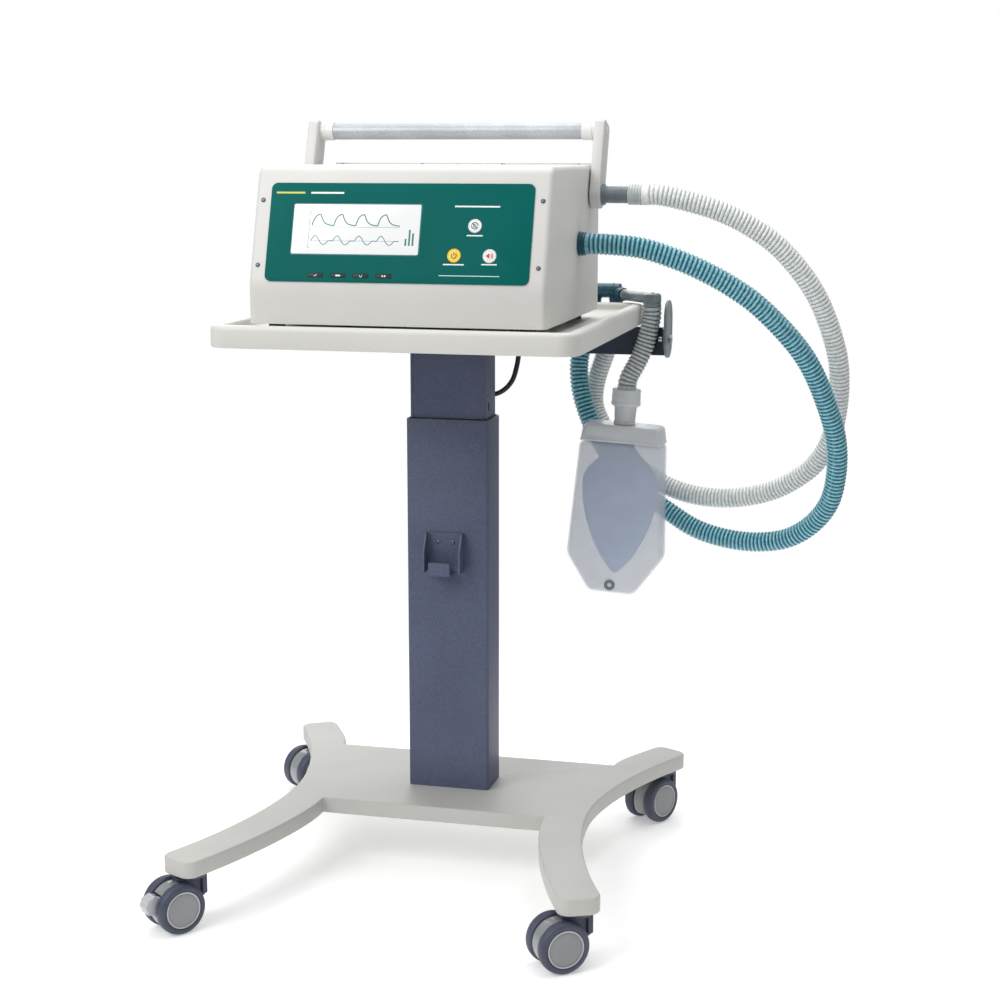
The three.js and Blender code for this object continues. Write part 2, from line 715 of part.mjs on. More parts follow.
// Wye piece behind the tray, and the elbow that leads over its back right corner.
const elbowWay = elbowPoint.clone().sub(wyeHub).setZ(0).normalize();
const reachFrom = (point, way, distance) => point.clone().addScaledVector(way, distance);
const elbowStart = reachFrom(wyeHub, elbowWay, 26);
const wyeLegs = [wyeHub.x - wyeSpread, wyeHub.x];
const headerZ = wyeHub.z + wyeRise;
const wyeSolid = join(
  rodAlongX(12, wyeLegs[0] - 10, wyeHub.x + 9, wyeHub.y, headerZ, 16),
  rod(11, wyeHub, reachFrom(wyeHub, elbowWay, 24), 12),
  ...wyeLegs.map((x) => upright(11, wyeLegEnd, headerZ, x, wyeHub.y, 16)),
);
const wyeBores = [
  rodAlongX(7.5, wyeLegs[0], wyeHub.x, wyeHub.y, headerZ, 8),
  rod(7.5, wyeHub, reachFrom(wyeHub, elbowWay, 40), 8),
  ...wyeLegs.map((x) => upright(7.5, wyeLegEnd - 10, headerZ, x, wyeHub.y, 8)),
];
add("wye_piece", cut(wyeSolid, ...wyeBores), paint.tealHose);

const elbowEnd = reachFrom(elbowPoint, elbowWay, 4);
const elbowSolid = join(
  rod(9.4, elbowStart, elbowEnd),
  upright(14.6, elbowSkirt, elbowPoint.z + 8, elbowPoint.x, elbowPoint.y, 20),
);
const elbowBores = [
  rod(6.5, reachFrom(elbowStart, elbowWay, -5), elbowPoint, 16),
  upright(9, elbowSkirt - 10, elbowPoint.z + 3, elbowPoint.x, elbowPoint.y),
];
add("patient_elbow", cut(elbowSolid, ...elbowBores), paint.darkTube);

// Test lung, hanging from the patient limb with a slight lean.
const lung = new THREE.Group();
lung.position.copy(lungTop);
lung.rotation.y = lungTilt;
ventilator.add(lung);

const neckProfile = [
  [0, -57],
  [16, -57],
  [18, -30],
  [23, -27],
  [23, 0],
  [0, 0],
];
const lungNeck = cut(turned(neckProfile, 20), upright(8, -70, 5, 0, 0, 16));
add("lung_neck", lungNeck, paint.frosted, lung);

const capTop = -57 - gap;
const capBottom = -85;
const lungDepth = 60;
function lungOutline(inset) {
  const side = [
    [67 - inset, capBottom - gap],
    [77 - inset, -272],
    [75 - inset, -280],
    [40 - inset * 0.8, -328 + inset],
    [32 - inset * 0.8, -332 + inset],
  ];
  const right = side.map(([x, y]) => new THREE.Vector2(x, y));
  const left = side.map(([x, y]) => new THREE.Vector2(-x, y)).reverse();
  return new THREE.Shape([...right, ...left]);
}
const capShape = new THREE.Shape();
capShape.moveTo(67, capBottom);
capShape.lineTo(61, capTop);
capShape.lineTo(-61, capTop);
capShape.lineTo(-67, capBottom);
capShape.closePath();
const capSolid = slabAlongY(capShape, -lungDepth / 2, lungDepth / 2, 4, 2);
add("lung_cap", cut(capSolid, upright(8.4, -100, 5, 0, 0, 16)), paint.frosted, lung);

const shellSolid = slabAlongY(lungOutline(0), -lungDepth / 2, lungDepth / 2, 7, 3);
const hollowSolid = slabAlongY(lungOutline(2.5), -lungDepth / 2 + 2.5, lungDepth / 2 - 2.5, 5, 2);
const mouth = block(-62, 62, -lungDepth / 2 + 8, lungDepth / 2 - 8, capBottom - 20, capBottom + 20);
add("lung_shell", cut(shellSolid, hollowSolid, mouth), paint.frosted, lung);

const bagProfile = [];
const bagTop = capBottom - 4;
const bagBottom = -306;
const bagSteps = 10;
for (let step = 0; step <= bagSteps; step += 1) {
  const along = step / bagSteps;
  const swell = Math.sin(Math.PI * Math.pow(along, 0.85));
  const radius = 12 * (1 - along) + 54 * Math.pow(swell, 0.8);
  bagProfile.push([Math.max(radius, 3), bagTop + (bagBottom - bagTop) * along]);
}
const bagPoints = [[0, bagTop], ...bagProfile, [0, bagBottom]].reverse();
const bag = turned(bagPoints, 18).scale(1, 0.36, 1);
add("lung_bag", bag, paint.bag, lung);

const drain = cut(
  rodAlongY(9, -lungDepth / 2 - 3, -lungDepth / 2 - gap, -2, -318, 24),
  rodAlongY(4, -lungDepth / 2 - 8, -lungDepth / 2 + 2, -2, -318, 16),
);
add("lung_drain_ring", drain, paint.frosted, lung);

// Hoses and the column cable, each along one smooth route.
function hose(points, diameter, steps, sides = 10) {
  const route = new THREE.CatmullRomCurve3(points, false, "centripetal");
  const section = new THREE.Shape();
  for (let side = 0; side < sides; side += 1) {
    const angle = (side / sides) * Math.PI * 2;
    const x = (Math.cos(angle) * diameter) / 2;
    const y = (Math.sin(angle) * diameter) / 2;
    if (side === 0) section.moveTo(x, y);
    else section.lineTo(x, y);
  }
  section.closePath();
  return new THREE.ExtrudeGeometry(section, { steps, bevelEnabled: false, extrudePath: route });
}

const hoseStart = 0.6;
const legStart = wyeLegEnd - hoseStart;
const whiteRoute = [
  new THREE.Vector3(297 + hoseStart, pivotY, pivotZ),
  new THREE.Vector3(322, pivotY, pivotZ),
  new THREE.Vector3(368, 97, 1042),
  new THREE.Vector3(413, 104, 1028),
  new THREE.Vector3(457, 114, 1006),
  new THREE.Vector3(501, 128, 973),
  new THREE.Vector3(553, 154, 905),
  new THREE.Vector3(585, 186, 816),
  new THREE.Vector3(590, 203, 768),
  new THREE.Vector3(587, 220, 719),
  new THREE.Vector3(576, 238, 669),
  new THREE.Vector3(553, 254, 628),
  new THREE.Vector3(521, 268, 599),
  new THREE.Vector3(480, 282, 575),
  new THREE.Vector3(422, 296, 559),
  new THREE.Vector3(363, 308, 557),
  new THREE.Vector3(311, 318, 568),
  new THREE.Vector3(267, 328, 590),
  new THREE.Vector3(225, 339, 622),
  new THREE.Vector3(192, 346, 662),
  new THREE.Vector3(176, 349, 700),
  new THREE.Vector3(179, 348, 738),
  new THREE.Vector3(192, 342, 776),
  new THREE.Vector3(206, 332, 812),
  new THREE.Vector3(wyeLegs[1] - 1, wyeHub.y, legStart - 18),
  new THREE.Vector3(wyeLegs[1], wyeHub.y, legStart),
];
add("hose_white", hose(whiteRoute, hoseDiameter, 34), paint.whiteHose);

const tealRoute = [
  new THREE.Vector3(228 + hoseStart, lowerPortY, lowerPortZ),
  new THREE.Vector3(254, lowerPortY, lowerPortZ),
  new THREE.Vector3(308, 15, 977),
  new THREE.Vector3(352, 21, 964),
  new THREE.Vector3(395, 30, 946),
  new THREE.Vector3(438, 42, 922),
  new THREE.Vector3(481, 57, 890),
  new THREE.Vector3(546, 95, 813),
  new THREE.Vector3(582, 140, 722),
  new THREE.Vector3(592, 163, 673),
  new THREE.Vector3(591, 186, 622),
  new THREE.Vector3(580, 207, 574),
  new THREE.Vector3(553, 226, 535),
  new THREE.Vector3(514, 243, 507),
  new THREE.Vector3(464, 258, 495),
  new THREE.Vector3(410, 271, 496),
  new THREE.Vector3(359, 282, 508),
  new THREE.Vector3(312, 292, 533),
  new THREE.Vector3(264, 299, 564),
  new THREE.Vector3(224, 303, 602),
  new THREE.Vector3(194, 305, 644),
  new THREE.Vector3(174, 307, 685),
  new THREE.Vector3(160, 312, 728),
  new THREE.Vector3(156, 318, 772),
  new THREE.Vector3(163, 321, 808),
  new THREE.Vector3(wyeLegs[0] - 1, wyeHub.y, legStart - 18),
  new THREE.Vector3(wyeLegs[0], wyeHub.y, legStart),
];
add("hose_teal", hose(tealRoute, hoseDiameter, 38), paint.tealHose);

const limbRoute = [
  new THREE.Vector3(elbowPoint.x, elbowPoint.y, elbowSkirt - hoseStart),
  new THREE.Vector3(elbowPoint.x, elbowPoint.y, elbowSkirt - 14),
  new THREE.Vector3(286, 239.5, 838),
  new THREE.Vector3(278, 238.5, 808),
  new THREE.Vector3(267, 236, 782),
  new THREE.Vector3(lungTop.x + 4, lungTop.y + 1, lungTop.z + 20),
  new THREE.Vector3(lungTop.x + 0.5, lungTop.y, lungTop.z + 8),
  new THREE.Vector3(lungTop.x, lungTop.y, lungTop.z + hoseStart),
];
add("patient_limb", hose(limbRoute, limbDiameter, 8), paint.greyHose);

const cableRoute = [
  new THREE.Vector3(88, 182, trayUnder - gap),
  new THREE.Vector3(88, 182, 835),
  new THREE.Vector3(87, 178, 805),
  new THREE.Vector3(84, 172, 777),
  new THREE.Vector3(78, 166, 756),
  new THREE.Vector3(65, 160, 741),
  new THREE.Vector3(50, 156, 735),
  new THREE.Vector3(34, 154, 738),
  new THREE.Vector3(18, 152, 751),
  new THREE.Vector3(6, 148, 770),
  new THREE.Vector3(1, 139, 785),
  new THREE.Vector3(0, 127, 790),
  new THREE.Vector3(0, 116, 790),
];
add("column_cable", hose(cableRoute, cableDiameter, 22, 8), paint.black);

export default ventilator;
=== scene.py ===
# Mechanical ventilator on a wheeled lifting trolley, in metres.
import json
import math
import bmesh
import bpy
from mathutils import Matrix, Vector
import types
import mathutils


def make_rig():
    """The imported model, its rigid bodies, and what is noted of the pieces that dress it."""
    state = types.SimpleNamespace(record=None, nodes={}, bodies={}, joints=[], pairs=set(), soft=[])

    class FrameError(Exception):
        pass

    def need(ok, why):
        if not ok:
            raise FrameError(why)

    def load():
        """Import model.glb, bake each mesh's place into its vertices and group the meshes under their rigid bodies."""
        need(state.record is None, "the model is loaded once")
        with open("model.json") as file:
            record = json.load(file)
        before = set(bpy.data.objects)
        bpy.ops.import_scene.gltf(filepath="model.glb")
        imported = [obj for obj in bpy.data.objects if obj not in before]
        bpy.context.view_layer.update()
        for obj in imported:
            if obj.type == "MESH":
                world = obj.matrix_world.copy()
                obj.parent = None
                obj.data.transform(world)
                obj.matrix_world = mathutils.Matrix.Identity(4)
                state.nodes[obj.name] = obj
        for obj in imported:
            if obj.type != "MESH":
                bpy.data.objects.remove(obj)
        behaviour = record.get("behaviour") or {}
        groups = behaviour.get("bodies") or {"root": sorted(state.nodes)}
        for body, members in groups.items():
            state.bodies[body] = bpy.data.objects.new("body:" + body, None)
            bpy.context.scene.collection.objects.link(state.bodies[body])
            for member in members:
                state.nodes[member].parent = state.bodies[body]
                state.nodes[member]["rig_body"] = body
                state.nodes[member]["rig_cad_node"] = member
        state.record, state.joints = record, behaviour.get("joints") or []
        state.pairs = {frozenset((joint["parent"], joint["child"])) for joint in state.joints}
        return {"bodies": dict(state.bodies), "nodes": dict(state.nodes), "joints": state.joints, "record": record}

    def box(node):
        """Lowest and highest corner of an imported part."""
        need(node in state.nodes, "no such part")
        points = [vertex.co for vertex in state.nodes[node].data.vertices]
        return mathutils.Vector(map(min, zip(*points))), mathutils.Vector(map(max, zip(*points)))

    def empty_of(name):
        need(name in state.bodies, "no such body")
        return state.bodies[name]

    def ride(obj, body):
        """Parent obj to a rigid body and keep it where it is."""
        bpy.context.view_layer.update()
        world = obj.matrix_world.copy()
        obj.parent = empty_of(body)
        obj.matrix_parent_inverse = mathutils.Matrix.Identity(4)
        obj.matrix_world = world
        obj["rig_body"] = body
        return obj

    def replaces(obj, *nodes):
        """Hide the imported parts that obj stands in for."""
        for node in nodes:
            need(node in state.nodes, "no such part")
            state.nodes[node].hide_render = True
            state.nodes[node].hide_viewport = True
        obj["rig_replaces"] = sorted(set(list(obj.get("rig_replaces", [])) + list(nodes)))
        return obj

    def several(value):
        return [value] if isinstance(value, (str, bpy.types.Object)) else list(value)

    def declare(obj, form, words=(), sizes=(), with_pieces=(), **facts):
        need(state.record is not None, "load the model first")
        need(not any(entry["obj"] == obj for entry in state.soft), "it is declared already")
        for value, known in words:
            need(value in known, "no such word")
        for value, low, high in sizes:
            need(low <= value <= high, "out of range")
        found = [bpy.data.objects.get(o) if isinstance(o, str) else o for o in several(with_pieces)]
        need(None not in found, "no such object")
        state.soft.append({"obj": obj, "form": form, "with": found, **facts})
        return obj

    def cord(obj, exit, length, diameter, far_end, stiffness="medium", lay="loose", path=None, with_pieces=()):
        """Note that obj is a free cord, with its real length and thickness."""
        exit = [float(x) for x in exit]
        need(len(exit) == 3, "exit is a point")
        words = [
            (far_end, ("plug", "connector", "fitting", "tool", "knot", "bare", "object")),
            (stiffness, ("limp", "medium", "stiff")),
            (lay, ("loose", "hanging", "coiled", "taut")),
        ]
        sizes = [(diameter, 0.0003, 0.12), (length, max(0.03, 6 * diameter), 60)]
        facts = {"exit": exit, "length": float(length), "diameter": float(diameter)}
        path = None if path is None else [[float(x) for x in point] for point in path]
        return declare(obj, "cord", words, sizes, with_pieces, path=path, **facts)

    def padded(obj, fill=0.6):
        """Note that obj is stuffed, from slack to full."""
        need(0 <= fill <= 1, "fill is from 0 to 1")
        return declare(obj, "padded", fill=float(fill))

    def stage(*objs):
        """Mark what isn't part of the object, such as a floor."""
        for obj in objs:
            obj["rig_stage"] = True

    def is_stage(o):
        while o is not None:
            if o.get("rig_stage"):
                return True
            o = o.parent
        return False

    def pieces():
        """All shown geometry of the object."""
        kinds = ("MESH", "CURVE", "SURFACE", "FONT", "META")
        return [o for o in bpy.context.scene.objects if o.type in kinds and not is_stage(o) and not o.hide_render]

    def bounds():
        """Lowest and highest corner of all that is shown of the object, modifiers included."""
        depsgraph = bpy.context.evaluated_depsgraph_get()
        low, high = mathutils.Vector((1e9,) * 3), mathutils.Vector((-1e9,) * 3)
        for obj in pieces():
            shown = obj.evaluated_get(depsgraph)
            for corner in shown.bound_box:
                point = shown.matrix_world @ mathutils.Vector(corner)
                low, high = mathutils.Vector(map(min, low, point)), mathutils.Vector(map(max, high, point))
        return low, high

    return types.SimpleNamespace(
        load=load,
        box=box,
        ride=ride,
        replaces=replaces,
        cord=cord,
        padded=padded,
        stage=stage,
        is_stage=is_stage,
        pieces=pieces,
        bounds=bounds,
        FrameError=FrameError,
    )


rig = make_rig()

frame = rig.load()
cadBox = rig.bounds()
nodes = frame["nodes"]
joints = {joint["name"]: joint for joint in frame["joints"]}
scene = bpy.context.scene
corners = ("fl", "fr", "rl", "rr")
print("frame loaded:", len(nodes), "nodes")


def middleOf(node):
    low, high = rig.box(node)
    return (Vector(low) + Vector(high)) / 2


columnMiddle = middleOf("column_outer_tube")
home = Vector((columnMiddle.x, columnMiddle.y - 0.096, 0))  # the trolley's own centre line


def at(x, y, z):
    return home + Vector((x, y, z)) / 1000


def tone(code):
    parts = [int(code[i:i + 2], 16) / 255 for i in (1, 3, 5)]
    straight = [c / 12.92 if c <= 0.04045 else ((c + 0.055) / 1.055) ** 2.4 for c in parts]
    return (*straight, 1)


# Camera, floor and lights
cameraLook = {"place": (791.31, -2759.11, 1121.78), "tilt": 79.488, "turn": 14.066, "lens": 68.4}
camera = bpy.data.objects.new("camera", bpy.data.cameras.new("camera"))
scene.collection.objects.link(camera)
camera.location = at(*cameraLook["place"])
camera.rotation_euler = (math.radians(cameraLook["tilt"]), 0, math.radians(cameraLook["turn"]))
camera.data.lens = cameraLook["lens"]
camera.data.clip_end = 60
scene.camera = camera
scene.view_settings.view_transform = "Standard"

floorMesh = bpy.data.meshes.new("floor")
floorMesh.from_pydata([(-9, -9, 0), (9, -9, 0), (9, 9, 0), (-9, 9, 0)], [], [(0, 1, 2, 3)])
floor = bpy.data.objects.new("floor", floorMesh)
scene.collection.objects.link(floor)
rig.stage(floor)

lamps = {
    "keyLamp": {"place": (-1.9, -2.6, 2.9), "size": 2.4, "power": 86},
    "fillLamp": {"place": (2.7, -1.7, 1.7), "size": 2.6, "power": 5},
    "topLamp": {"place": (0.2, 0.6, 3.6), "size": 3.0, "power": 68},
    "backLamp": {"place": (-1.2, 3.0, 2.0), "size": 2.4, "power": 36},
}
for lampName, lamp in lamps.items():
    light = bpy.data.lights.new(lampName, "AREA")
    light.size = lamp["size"]
    light.energy = lamp["power"]
    holder = bpy.data.objects.new(lampName, light)
    scene.collection.objects.link(holder)
    holder.location = lamp["place"]
    aim = Vector((0, 0, 0.6)) - Vector(lamp["place"])
    holder.rotation_euler = aim.to_track_quat("-Z", "Y").to_euler()

white = (1, 1, 1, 1)
black = (0, 0, 0, 1)
world = bpy.data.worlds.new("studio")
scene.world = world
world.use_nodes = True
skyTree = world.node_tree
soft = skyTree.nodes["Background"]
soft.inputs["Strength"].default_value = 0.46
soft.inputs["Color"].default_value = white
wall = skyTree.nodes.new("ShaderNodeBackground")
wall.inputs["Color"].default_value = white
ray = skyTree.nodes.new("ShaderNodeLightPath")
sky = skyTree.nodes.new("ShaderNodeMixShader")
skyTree.links.new(ray.outputs["Is Camera Ray"], sky.inputs[0])
skyTree.links.new(soft.outputs[0], sky.inputs[1])
skyTree.links.new(wall.outputs[0], sky.inputs[2])
skyTree.links.new(sky.outputs[0], skyTree.nodes["World Output"].inputs["Surface"])


# Finishes: each one starts from a shader and the place on the piece.
def startFinish(name, rough, metal=0.0, coat=0.0, specular=0.5):
    finish = bpy.data.materials.new(name)
    finish.use_nodes = True
    tree = finish.node_tree
    shader = tree.nodes["Principled BSDF"]
    shader.inputs["Roughness"].default_value = rough
    shader.inputs["Metallic"].default_value = metal
    shader.inputs["Coat Weight"].default_value = coat
    shader.inputs["Specular IOR Level"].default_value = specular
    place = tree.nodes.new("ShaderNodeTexCoord").outputs["Object"]
    return finish, tree, shader, place


def noiseAt(tree, place, scale, detail=2.0, stretch=None):
    if stretch:
        mapping = tree.nodes.new("ShaderNodeMapping")
        mapping.inputs["Scale"].default_value = stretch
        tree.links.new(place, mapping.inputs["Vector"])
        place = mapping.outputs["Vector"]
    noise = tree.nodes.new("ShaderNodeTexNoise")
    noise.inputs["Scale"].default_value = scale
    noise.inputs["Detail"].default_value = detail
    tree.links.new(place, noise.inputs["Vector"])
    return noise.outputs["Fac"]


def rampOf(tree, value, stops):
    ramp = tree.nodes.new("ShaderNodeValToRGB")
    while len(ramp.color_ramp.elements) < len(stops):
        ramp.color_ramp.elements.new(0.5)
    for element, (position, colour) in zip(ramp.color_ramp.elements, stops):
        element.position = position
        element.color = colour
    tree.links.new(value, ramp.inputs["Fac"])
    return ramp.outputs["Color"]


def mixOf(tree, amount, first, second, way="MIX"):
    mix = tree.nodes.new("ShaderNodeMix")
    mix.data_type = "RGBA"
    mix.blend_type = way
    if isinstance(amount, float):
        mix.inputs["Factor"].default_value = amount
    else:
        tree.links.new(amount, mix.inputs["Factor"])
    for slot, value in (("A", first), ("B", second)):
        socket = [s for s in mix.inputs if s.name == slot and s.type == "RGBA"][0]
        if isinstance(value, tuple):
            socket.default_value = value
        else:
            tree.links.new(value, socket)
    return [s for s in mix.outputs if s.type == "RGBA"][0]


def spread(tree, value, low, high, top=1.0):
    span = tree.nodes.new("ShaderNodeMapRange")
    span.inputs["From Max"].default_value = top
    span.inputs["To Min"].default_value = low
    span.inputs["To Max"].default_value = high
    tree.links.new(value, span.inputs["Value"])
    return span.outputs["Result"]


def bumpOf(tree, shader, height, depth):
    bump = tree.nodes.new("ShaderNodeBump")
    bump.inputs["Distance"].default_value = depth
    bump.inputs["Strength"].default_value = 1.0
    tree.links.new(height, bump.inputs["Height"])
    tree.links.new(bump.outputs["Normal"], shader.inputs["Normal"])


def powderCoat(name, dark, light, **look):
    finish, tree, shader, place = startFinish(name, look["rough"], look.get("metal", 0.0))
    cloud = noiseAt(tree, place, look["cloud"], 3.0)
    fleck = noiseAt(tree, place, look["fleck"], 1.0)
    base = rampOf(tree, cloud, [(0.3, tone(dark)), (0.7, tone(light))])
    dots = rampOf(tree, fleck, [(0.36, (0.80, 0.80, 0.82, 1)), (0.5, white), (0.68, (1.16, 1.16, 1.14, 1))])
    colour = mixOf(tree, look["fleckAmount"], base, dots, "MULTIPLY")
    rounded = tree.nodes.new("ShaderNodeBevel")  # its normal leaves the face's own only near an edge
    rounded.samples = 4
    rounded.inputs["Radius"].default_value = 0.002
    facing = tree.nodes.new("ShaderNodeVectorMath")
    facing.operation = "DOT_PRODUCT"
    tree.links.new(rounded.outputs["Normal"], facing.inputs[0])
    tree.links.new(tree.nodes.new("ShaderNodeNewGeometry").outputs["Normal"], facing.inputs[1])
    worn = rampOf(tree, facing.outputs["Value"], [(0.9, white), (0.985, black)])
    scuff = rampOf(tree, noiseAt(tree, place, 60.0, 4.0), [(0.48, black), (0.7, white)])
    wear = mixOf(tree, 1.0, worn, scuff, "MULTIPLY")
    colour = mixOf(tree, wear, colour, tone(look["worn"]))
    tree.links.new(colour, shader.inputs["Base Color"])
    roughness = spread(tree, fleck, look["rough"] - 0.07, look["rough"] + 0.09)
    tree.links.new(roughness, shader.inputs["Roughness"])
    bumpOf(tree, shader, fleck, look["bump"])
    return finish


def mouldedFinish(name, dark, light, **look):
    finish, tree, shader, place = startFinish(
        name, look["rough"], 0.0, look.get("coat", 0.0), look.get("shine", 0.5),
    )
    cloud = noiseAt(tree, place, look.get("cloud", 9.0), 3.0)
    grain = noiseAt(tree, place, look.get("grain", 1400.0), 2.0)
    base = rampOf(tree, cloud, [(0.3, tone(dark)), (0.7, tone(light))])
    smear = noiseAt(tree, place, 34.0, 5.0, (1.0, 1.0, 0.3))
    grime = rampOf(tree, smear, [(0.35, (0.93, 0.93, 0.92, 1)), (0.62, white)])
    tree.links.new(mixOf(tree, look.get("grime", 0.5), base, grime, "MULTIPLY"), shader.inputs["Base Color"])
    tree.links.new(
        spread(tree, smear, look["rough"] - 0.06, look["rough"] + 0.08), shader.inputs["Roughness"],
    )
    bumpOf(tree, shader, grain, look.get("bump", 0.00004))
    return finish


def brushedMetal(name, dark, light, **look):
    finish, tree, shader, place = startFinish(name, look["rough"], 1.0)
    lines = noiseAt(tree, place, 900.0, 3.0, look["stretch"])
    base = rampOf(tree, lines, [(0.3, tone(dark)), (0.7, tone(light))])
    blot = rampOf(tree, noiseAt(tree, place, 40.0, 4.0), [(0.4, (0.86, 0.86, 0.86, 1)), (0.65, white)])
    tree.links.new(mixOf(tree, 0.6, base, blot, "MULTIPLY"), shader.inputs["Base Color"])
    tree.links.new(
        spread(tree, lines, look["rough"] - 0.08, look["rough"] + 0.12), shader.inputs["Roughness"],
    )
    bumpOf(tree, shader, lines, 0.00003)
    return finish


def hoseFinish(name, stops, **look):
    finish, tree, shader, place = startFinish(name, look["rough"], 0.0, 0.25)
    # Painted shade and highlight: the rib height darkens the hose colour in the valleys between the ribs and lightens
    # it on the crests.
    ribShade = tree.nodes.new("ShaderNodeAttribute")
    ribShade.attribute_name = "ribShade"
    height = ribShade.outputs["Fac"]
    base = rampOf(tree, height, [(spot, tone(code)) for spot, code in stops])
    # Painted highlights and shade: this fine noise raises the hose colour above its own tone in patches and darkens it
    # between them, as glints on crinkled plastic. The same noise also sets roughness and bump.
    streak = noiseAt(tree, place, 210.0, 3.0)
    paintedCrinkleLight = rampOf(tree, streak, [(0.38, (0.66, 0.7, 0.73, 1)), (0.5, white), (0.64, (1.36, 1.33, 1.3, 1))])
    tree.links.new(mixOf(tree, look["streakAmount"], base, paintedCrinkleLight, "MULTIPLY"), shader.inputs["Base Color"])
    tree.links.new(
        spread(tree, streak, look["rough"] - 0.08, look["rough"] + 0.1), shader.inputs["Roughness"],
    )
    bumpOf(tree, shader, streak, 0.0003)
    shader.inputs["Alpha"].default_value = 1 - look["clear"]
    return finish


castCoat = powderCoat(
    "castCoat", "#b2b2ae", "#bcbcb7", worn="#9b9b97", rough=0.5, cloud=5.0, fleck=520.0, fleckAmount=0.16,
    bump=0.00008,
)
trayCoat = powderCoat(
    "trayCoat", "#d2d1cc", "#dad9d4", worn="#bebdb8", rough=0.46, cloud=4.0, fleck=640.0, fleckAmount=0.1,
    bump=0.00005,
)
caseCoat = powderCoat(
    "caseCoat", "#d4d3cf", "#dcdbd7", worn="#c9c8c4", rough=0.46, cloud=5.0, fleck=900.0, fleckAmount=0.1,
    bump=0.00004,
)
slateCoat = powderCoat(
    "slateCoat", "#4b526b", "#565d75", worn="#7a8196", rough=0.46, cloud=6.0, fleck=420.0,
    fleckAmount=0.6, bump=0.00012, metal=0.15,
)
navyCoat = powderCoat(
    "navyCoat", "#20293a", "#283245", worn="#4c566a", rough=0.42, cloud=7.0, fleck=700.0, fleckAmount=0.3,
    bump=0.00006, metal=0.2,
)
floorFinish = mouldedFinish(
    "floorFinish", "#efefef", "#f4f4f4", rough=0.8, cloud=0.5, grain=300.0, grime=0.1, bump=0.00002,
)
floorTree = floorFinish.node_tree
floorShader = floorTree.nodes["Principled BSDF"]
floorShader.inputs["Emission Color"].default_value = white
floorShader.inputs["Emission Strength"].default_value = 0.3
floorShader.inputs["Specular IOR Level"].default_value = 0.1
away = floorTree.nodes.new("ShaderNodeVectorMath")  # the floor fades out well past the trolley
away.operation = "LENGTH"
floorTree.links.new(floorTree.nodes["Texture Coordinate"].outputs["Object"], away.inputs[0])
reach = spread(floorTree, away.outputs["Value"], 0.0, 1.0, 3.0)
floorTree.links.new(rampOf(floorTree, reach, [(0.3, white), (0.5, black)]), floorShader.inputs["Alpha"])
floor.data.materials.append(floorFinish)
tyreFinish = mouldedFinish(
    "tyreFinish", "#373d4e", "#454b5d", rough=0.5, cloud=30.0, grain=1600.0, bump=0.00005, grime=0.8,
)
hubFinish = mouldedFinish("hubFinish", "#818285", "#8d8e91", rough=0.42, grain=1800.0, bump=0.00005)
hoodFinish = mouldedFinish("hoodFinish", "#7c7e82", "#8d8f93", rough=0.27, cloud=22.0, grain=1500.0, coat=0.5)
knobFinish = mouldedFinish("knobFinish", "#adafb1", "#babcbe", rough=0.35)
darkFinish = mouldedFinish("darkFinish", "#17181b", "#202226", rough=0.5, grain=1100.0, bump=0.00006)
rubberFinish = mouldedFinish("rubberFinish", "#151517", "#1e1e21", rough=0.7, grain=700.0, bump=0.0001)
overlayFinish = mouldedFinish(
    "overlayFinish", "#005d58", "#006662", rough=0.5, cloud=3.0, grain=2200.0, bump=0.00002, grime=0.25,
    shine=0.08,
)
screenFinish = mouldedFinish(
    "screenFinish", "#f6f9f9", "#fdfefe", rough=0.3, cloud=4.0, grime=0.1, bump=0.00001, shine=0.3,
)
whiteInk = mouldedFinish("whiteInk", "#e8eeec", "#f4f8f7", rough=0.4, grime=0.1)
yellowInk = mouldedFinish("yellowInk", "#c8c83a", "#d6d544", rough=0.4, grime=0.1)
tealInk = mouldedFinish("tealInk", "#056b6b", "#0a7a78", rough=0.4, grime=0.1)
redInk = mouldedFinish("redInk", "#c02a3a", "#cf3342", rough=0.4, grime=0.1)
darkInk = mouldedFinish("darkInk", "#2b2f1c", "#34381f", rough=0.4, grime=0.1)
whiteKey = mouldedFinish("whiteKey", "#e2e2df", "#ececea", rough=0.3, coat=0.3)
yellowKey = mouldedFinish("yellowKey", "#efc11b", "#f7cf2c", rough=0.3, coat=0.3)
armFinish = mouldedFinish("armFinish", "#cfcecc", "#d9d8d6", rough=0.4, grain=1300.0)
collarFinish = mouldedFinish("collarFinish", "#e2e2e0", "#ebebe9", rough=0.35)
portFinish = mouldedFinish("portFinish", "#68747a", "#78848a", rough=0.35, cloud=40.0, coat=0.3)
zincSteel = brushedMetal("zincSteel", "#9ea2a8", "#c3c7cb", rough=0.3, stretch=(1.0, 1.0, 0.1))
zincSheet = brushedMetal("zincSheet", "#85898d", "#a7abb0", rough=0.42, stretch=(0.1, 1.0, 1.0))
screwFinish = brushedMetal("screwFinish", "#5d5a72", "#8c8aa2", rough=0.34, stretch=(1.0, 1.0, 1.0))
boardFinish = mouldedFinish("boardFinish", "#1c5c34", "#23703f", rough=0.4, cloud=60.0, grain=400.0, coat=0.3)
wrapFinish = mouldedFinish("wrapFinish", "#1f2739", "#273047", rough=0.38, cloud=14.0)
blackPaint = mouldedFinish("blackPaint", "#0f1012", "#17181b", rough=0.28, coat=0.4)
clearCuff = mouldedFinish("clearCuff", "#c2c7c6", "#d6dad9", rough=0.32, cloud=80.0, coat=0.3)
clearCuff.node_tree.nodes["Principled BSDF"].inputs["Alpha"].default_value = 0.82
cableFinish = mouldedFinish("cableFinish", "#1b1d22", "#25272d", rough=0.45, cloud=60.0, grain=900.0)
